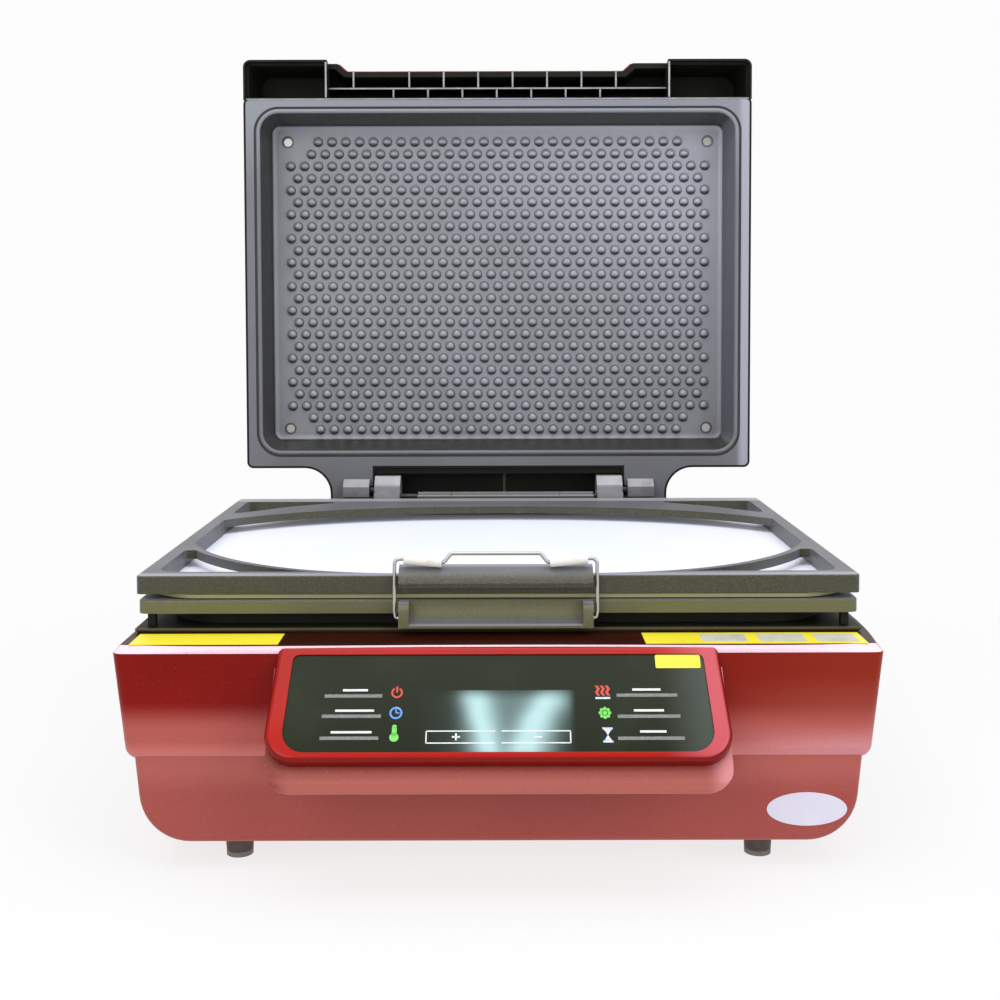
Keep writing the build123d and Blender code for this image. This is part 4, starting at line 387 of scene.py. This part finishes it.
def power_sign(heap, x=-64.4, y=-30.6):
    arc_strip(heap, x, y, 3.1, STROKE, 120, 420)
    bar(heap, x, y + 2.2, STROKE, 4.2)


def clock_sign(heap, x=-64.5, y=-44.3):
    arc_strip(heap, x, y, 3.5, STROKE, 0, 360)
    bar(heap, x, y + 1.1, 0.9, 2.6)
    bar(heap, x + 1.0, y, 2.4, 0.9)


def thermometer_sign(heap, x=-65.0, y=-60.4):
    disc(heap, x, y, 2.9)
    bar(heap, x, y + 3.8, 3.0, 6.2)
    disc(heap, x, y + 6.8, 1.5)


def heat_sign(heap, line_heap, x=66.1, y=-33.0):
    """Three waves of three leaning strokes, with a line below."""
    tall, half = 2.3, 0.95
    for wave in (-2.95, 0.25, 3.45):
        for i in range(3):
            low, high = y + tall * i, y + tall * (i + 1)
            lean = -0.7 if i % 2 == 0 else 0.7
            foot, head = x + wave - lean, x + wave + lean
            slope_plate(heap, [(foot - half, low), (foot + half, low),
                               (head + half, high), (head - half, high)])
    bar(line_heap, x + 0.3, y - 1.6, 9.4, 1.3)


def fan_sign(heap, x=67.2, y=-44.6, blades=8, reach=2.9):
    for i in range(blades):
        a = 2 * math.pi * i / blades
        disc(heap, x + reach * math.cos(a), y + reach * math.sin(a), 1.15, steps=10)
    disc(heap, x, y, 1.5, steps=10)


def hourglass_sign(heap, x=68.3, y=-59.2, half=2.6, tall=3.9):
    for side in (-1, 1):
        cone = [(x, y), (x - half, y + side * tall), (x + half, y + side * tall)]
        slope_plate(heap, cone[::side])
        bar(heap, x, y + side * 4.3, 6.4, STROKE)


bars, lines, red, blue, green, pale = [Heap() for _ in range(6)]
for x, y, w in KEY_BARS:
    bar(bars, x, y, w, BAR_HEIGHT)
for x, y, w in KEY_LINES:
    bar(lines, x, y, w, LINE_HEIGHT)
outlined_keys(lines)
power_sign(red)
clock_sign(blue)
thermometer_sign(green)
heat_sign(red, pale)
fan_sign(green)
hourglass_sign(pale)
bars.place("console_bars", MARK_GREY, "base")
lines.place("console_lines", MARK_WHITE, "base")
red.place("console_red_signs", MARK_RED, "base")
blue.place("console_blue_signs", MARK_BLUE, "base")
green.place("console_green_signs", MARK_GREEN, "base")
pale.place("console_pale_signs", MARK_PALE, "base")

# ---------------------------------------------------------------- display
WINDOW = (-1.0, -49.8, 100.0, 41.5)            # on the slope: middle x, middle y, width, height
WINDOW_THICK, WINDOW_DEPTH = 0.04, 0.99
# streaks of light, in metres: x at the top, x at the foot, width, and strength
STREAKS = ((-0.015, -0.006, 0.010, 0.85), (0.034, 0.018, 0.011, 0.90), (0.006, 0.004, 0.026, 0.24))
STREAK_TOP, STREAK_DROP = 0.1297, 0.0346
WOBBLE_SCALE, WOBBLE_WIDTH = 18.0, 0.02
TOP_FADE, SIDE_FADE = (0.131, 0.121), (0.050, 0.044)


def display_look():
    """Dark teal glass with two soft upright streaks of light and a faint wide one."""
    look = material("display_window", (0.03, 0.055, 0.05), 0.16, spec=0.10)
    wires = Wiring(look.node_tree)
    where = wires.node("TexCoord").outputs["Object"]
    split = wires.node("SeparateXYZ", {"Vector": where})
    x, z = split.outputs["X"], split.outputs["Z"]
    wobble = wires.calc("SUBTRACT", wires.noise(where, WOBBLE_SCALE, 2.0), 0.5)
    shifted = wires.calc("ADD", x, wires.calc("MULTIPLY", wobble, WOBBLE_WIDTH))
    fall = wires.calc("DIVIDE", wires.calc("SUBTRACT", STREAK_TOP, z), STREAK_DROP)
    glow = 0.0
    for high, low, width, strength in STREAKS:
        centre = wires.calc("ADD", high, wires.calc("MULTIPLY", fall, low - high))
        away = wires.calc("DIVIDE", wires.calc("SUBTRACT", shifted, centre), width)
        bell = wires.calc("EXPONENT", wires.calc("MULTIPLY", wires.calc("MULTIPLY", away, away), -1.0))
        glow = wires.calc("ADD", glow, wires.calc("MULTIPLY", bell, strength))
    glow = wires.calc("MULTIPLY", glow, wires.ramp(z, *TOP_FADE), clamp=True)
    glow = wires.calc("MULTIPLY", glow, wires.ramp(wires.calc("ABSOLUTE", x), *SIDE_FADE), clamp=True)
    tone = wires.mix(glow, (0.014, 0.019, 0.010), (0.42, 0.62, 0.62))
    wires.feed(look.node_tree.nodes["Principled BSDF"].inputs["Base Color"], tone)
    return look


window = Heap()
slope_plate(window, rect(*WINDOW), WINDOW_THICK, WINDOW_DEPTH)
window.place("display_window", display_look(), "base")

# ---------------------------------------------------------------- stickers
PANEL_SPANS = ((134.5, 164.5), (172.5, 203.5), (210.0, 237.5))
PANEL_FRONT, PANEL_REAR = -221.5, -201.0
STICKER_THICK, PANEL_THICK = 0.2, 0.1
panels = Heap()
for left, right in PANEL_SPANS:
    panels.box(left, right, PANEL_FRONT, PANEL_REAR, DECK + STICKER_THICK, DECK + STICKER_THICK + PANEL_THICK)
panels.place("sticker_panels", PANEL, "base")


# ---------------------------------------------------------------- lid
def rounded(width, height, radius, steps=10):
    """Points and outward directions round a rounded rectangle, in X and Z."""
    path = []
    for side_x, side_z, start in ((1, 1, 0), (-1, 1, 90), (-1, -1, 180), (1, -1, 270)):
        for i in range(steps + 1):
            a = math.radians(start + 90 * i / steps)
            out = (math.cos(a), math.sin(a))
            path.append((side_x * (width / 2 - radius) + radius * out[0],
                         side_z * (height / 2 - radius) + radius * out[1], out))
    return path


def loop(name, width, height, radius, profile, look, smooth):
    """A profile of (outward, forward) steps carried round the tray's opening."""
    path = rounded(width, height, radius)
    points = [(x + out * out_x, LID_FACE - forward, TRAY_MID + z + out * out_z)
              for x, z, (out_x, out_z) in path for out, forward in profile]
    k, faces = len(profile), []
    for i in range(len(path)):
        j = (i + 1) % len(path)
        faces += [[i * k + a, i * k + a + 1, j * k + a + 1, j * k + a] for a in range(k - 1)]
    piece(name, points, faces, look, "lid", smooth)


BEAD_WIDTH, BEAD_HEIGHT, BEAD_RADIUS = 458.7, 328.1, 19.9
BEAD_HALF, BEAD_BASE, BEAD_RISE, BEAD_STEPS = 1.9, -0.7, 1.3, 8
GROOVE_GAP = 4.1           # the groove's loop lies this far outside the bead's
GROOVE_PROFILE = [(-2.2, -0.9), (-2.2, -0.5), (-0.1, -0.5), (-0.1, -0.9)]
half_turn = [math.pi * i / BEAD_STEPS for i in range(BEAD_STEPS + 1)]
loop("tray_bead", BEAD_WIDTH, BEAD_HEIGHT, BEAD_RADIUS,
     [(BEAD_HALF * math.cos(a), BEAD_BASE + BEAD_RISE * math.sin(a)) for a in half_turn], PLATE, smooth=True)
loop("tray_groove", BEAD_WIDTH + 2 * GROOVE_GAP, BEAD_HEIGHT + 2 * GROOVE_GAP, BEAD_RADIUS + GROOVE_GAP,
     GROOVE_PROFILE, DARK_GROOVE, smooth=False)

DOME_RADIUS, DOME_HEIGHT, DOME_RINGS, DOME_SIDES = 4.9, 4.3, 5, 18
FIELD_MID = 392.3          # middle height of the dome field
COLUMN_PITCH, ROW_PITCH = 13.63, 11.86
ROWS_EACH_WAY = 12
OUTER_ROWS = 11            # from this row on, rows leave room for the screws in the corners


def dome_rings():
    """Rings of points from a dome's foot up to near its top, as (across, up, height)."""
    ball = (DOME_RADIUS ** 2 + DOME_HEIGHT ** 2) / (2 * DOME_HEIGHT)
    foot = math.asin(DOME_RADIUS / ball)
    rings = []
    for i in range(DOME_RINGS):
        a = foot * (1 - i / DOME_RINGS)
        turns = [2 * math.pi * j / DOME_SIDES for j in range(DOME_SIDES)]
        rings.append([(ball * math.sin(a) * math.cos(t), ball * math.sin(a) * math.sin(t),
                       ball * math.cos(a) - ball + DOME_HEIGHT) for t in turns])
    return rings


def add_dome(points, faces, cx, cz, rings):
    start = len(points)
    for ring in rings:
        points += [(cx + across, TRAY_BACK - high, cz + up) for across, up, high in ring]
    points.append((cx, TRAY_BACK - DOME_HEIGHT, cz))
    for j in range(DOME_SIDES):
        k = (j + 1) % DOME_SIDES
        for r in range(DOME_RINGS - 1):
            low, high = start + r * DOME_SIDES, start + (r + 1) * DOME_SIDES
            faces.append([low + j, high + j, high + k, low + k])
        last = start + (DOME_RINGS - 1) * DOME_SIDES
        faces.append([last + j, len(points) - 1, last + k])


def domes_in_row(row):
    if abs(row) >= OUTER_ROWS:
        return 27 if row % 2 == 0 else 28
    return 31 if row % 2 == 0 else 30


points, faces = [], []
rings = dome_rings()
for row in range(-ROWS_EACH_WAY, ROWS_EACH_WAY + 1):
    count = domes_in_row(row)
    for i in range(count):
        add_dome(points, faces, (i - (count - 1) / 2) * COLUMN_PITCH, FIELD_MID + row * ROW_PITCH, rings)
piece("tray_domes", points, faces, DOMES, "lid", smooth=True)

# pale ends of the nose's ribs and walls and two pale level lines, painted highlights, as skins on their
# fronts
SKIN, RIB_HALF, RIB_PITCH, RIB_COUNT = 0.15, 0.8, 33.3, 7
UPPER_RIB, LOWER_RIB, LONE_RIB, WALL_X = -85.3, -100.6, -139.2, 164.0
# heights above the lid's plate, and how far the walls and upper ribs end below the lid's top
PLATE_LINE, LOWER_SPAN, SHELF_LINE, UPPER_START = (0.3, 1.3), (2.5, 12.2), (12.5, 13.9), 14.2
WALL_INSET, UPPER_INSET, SHELF_INSET, PLATE_LINE_HALF = 2.2, 8.0, 1.2, 240.0
edges = Heap()


def rib_end(x, front, low, high):
    edges.box(x - RIB_HALF, x + RIB_HALF, front - SKIN, front, low, high)


def level_line(half, front, low, high):
    edges.box(-half, half, front - SKIN, front, LID_TOP + low, LID_TOP + high)


rib_front = LID_FACE + NOSE_DEPTH
for x in (-WALL_X, WALL_X):
    rib_end(x, LID_FACE, LID_TOP + WALL_INSET, NOSE_TOP - WALL_INSET)
for x in [LONE_RIB] + [UPPER_RIB + RIB_PITCH * i for i in range(RIB_COUNT)]:
    rib_end(x, rib_front, LID_TOP + UPPER_START, NOSE_TOP - UPPER_INSET)
for i in range(RIB_COUNT):
    rib_end(LOWER_RIB + RIB_PITCH * i, rib_front, LID_TOP + LOWER_SPAN[0], LID_TOP + LOWER_SPAN[1])
level_line(WALL_X - SHELF_INSET, rib_front, *SHELF_LINE)
level_line(PLATE_LINE_HALF, LID_FACE, *PLATE_LINE)
edges.place("rib_ends", PALE_EDGE, "lid")

# the light rib on the hinge pocket's back wall
SPINE_LEFT, SPINE_RIGHT, SPINE_FOOT, SPINE_HEAD, SPINE_THICK = 4.4, 7.0, 179.5, 216.0, 0.25
spine = Heap()
pocket_back = LID_FACE + POCKET_DEPTH
spine.box(SPINE_LEFT, SPINE_RIGHT, pocket_back, pocket_back + SPINE_THICK, SPINE_FOOT, SPINE_HEAD)
spine.place("pocket_spine", OLIVE, "lid")


# ---------------------------------------------------------------- stage
WHITE = 0.98               # strength of the backdrop
FLOOR_HALF = 8.0           # metres
# the floor fades into the backdrop between these distances, from this share of white near the object
FADE_START, FADE_END, NEAR_SHARE = 0.30, 0.80, 0.80


def floor_look():
    """White floor that keeps the shadow near the object and fades into the white backdrop."""
    look = bpy.data.materials.new("floor")
    look.use_nodes = True
    wires = Wiring(look.node_tree)
    nodes = look.node_tree.nodes
    surface = {"Base Color": (0.86, 0.86, 0.87), "Roughness": 0.7, "Specular IOR Level": 0.1}
    for key, value in surface.items():
        wires.feed(nodes["Principled BSDF"].inputs[key], value)
    far = wires.node("VectorMath", {0: wires.node("TexCoord").outputs["Object"]}, operation="LENGTH")
    fade = wires.ramp(far.outputs["Value"], FADE_START, FADE_END, start=NEAR_SHARE)
    white = wires.node("Emission", {"Color": (1, 1, 1), "Strength": WHITE})
    blend = wires.node("MixShader", {"Fac": fade, 1: nodes["Principled BSDF"].outputs["BSDF"],
                                     2: white.outputs["Emission"]})
    wires.feed(nodes["Material Output"].inputs["Surface"], blend.outputs["Shader"])
    return look


mesh = bpy.data.meshes.new("floor")
mesh.from_pydata([(x * FLOOR_HALF, y * FLOOR_HALF, 0) for x, y in ((-1, -1), (1, -1), (1, 1), (-1, 1))],
                 [], [[0, 1, 2, 3]])
mesh.materials.append(floor_look())
put_in("floor", mesh)


def lamp(name, place, aim, size, power, color):
    """A rectangular lamp, with places and sizes in metres."""
    data = bpy.data.lights.new(name, "AREA")
    data.shape = "RECTANGLE"
    data.size, data.size_y = size
    data.energy = power
    data.color = color
    made = put_in(name, data)
    made.location = place
    made.rotation_euler = (Vector(aim) - Vector(place)).to_track_quat("-Z", "Y").to_euler()


lamp("top_light", (0.0, -0.25, 2.1), (0, 0, 0.2), (2.4, 1.8), 34, (0.96, 0.97, 1.0))
lamp("front_light", (-1.2, -2.2, 1.5), (0, 0, 0.3), (1.4, 1.6), 20, (1.0, 0.98, 0.96))
lamp("side_light", (1.6, -1.7, 1.4), (0, 0, 0.3), (1.0, 1.8), 18, (0.96, 0.97, 1.0))

# white where the camera, mirrors and clear pieces see it, and dimmer as a light
world = bpy.data.worlds.new("world")
bpy.context.scene.world = world
world.use_nodes = True
world.node_tree.nodes.clear()
wires = Wiring(world.node_tree)
ray = wires.node("LightPath").outputs
seen = wires.calc("MAXIMUM", ray["Is Camera Ray"], ray["Is Transmission Ray"])
seen = wires.calc("MAXIMUM", seen, ray["Is Glossy Ray"])
dim = wires.node("Background", {"Color": (0.93, 0.95, 1.0), "Strength": 0.50})
bright = wires.node("Background", {"Color": (1, 1, 1), "Strength": WHITE})
mixer = wires.node("MixShader", {"Fac": seen, 1: dim.outputs["Background"], 2: bright.outputs["Background"]})
wires.node("OutputWorld", {"Surface": mixer.outputs["Shader"]})

# ---------------------------------------------------------------- camera
SENSOR = 36.0
FOCAL_SHARE = 1.3284       # focal length as a share of the sensor's width
TILT, ROLL, YAW = math.radians(2.601), math.radians(-0.141), math.radians(0.017)
CAMERA_PLACE = (0.00136, -1.08369, 0.37068)
CAMERA_SHIFT = -0.1315     # upward, as a share of the sensor's width
forward = Vector((math.sin(YAW) * math.cos(TILT), math.cos(YAW) * math.cos(TILT), -math.sin(TILT)))
level = Vector((math.cos(YAW), -math.sin(YAW), 0))
upright = level.cross(forward)
across = math.cos(ROLL) * level + math.sin(ROLL) * upright
upward = math.cos(ROLL) * upright - math.sin(ROLL) * level
camera = bpy.data.cameras.new("camera")
camera.sensor_width = SENSOR
camera.lens = SENSOR * FOCAL_SHARE
camera.shift_y = CAMERA_SHIFT
camera_object = put_in("camera", camera)
matrix = Matrix((across, upward, -forward)).transposed().to_4x4()
matrix.translation = Vector(CAMERA_PLACE)
camera_object.matrix_world = matrix
bpy.context.scene.camera = camera_object
bpy.context.scene.view_settings.view_transform = "Standard"
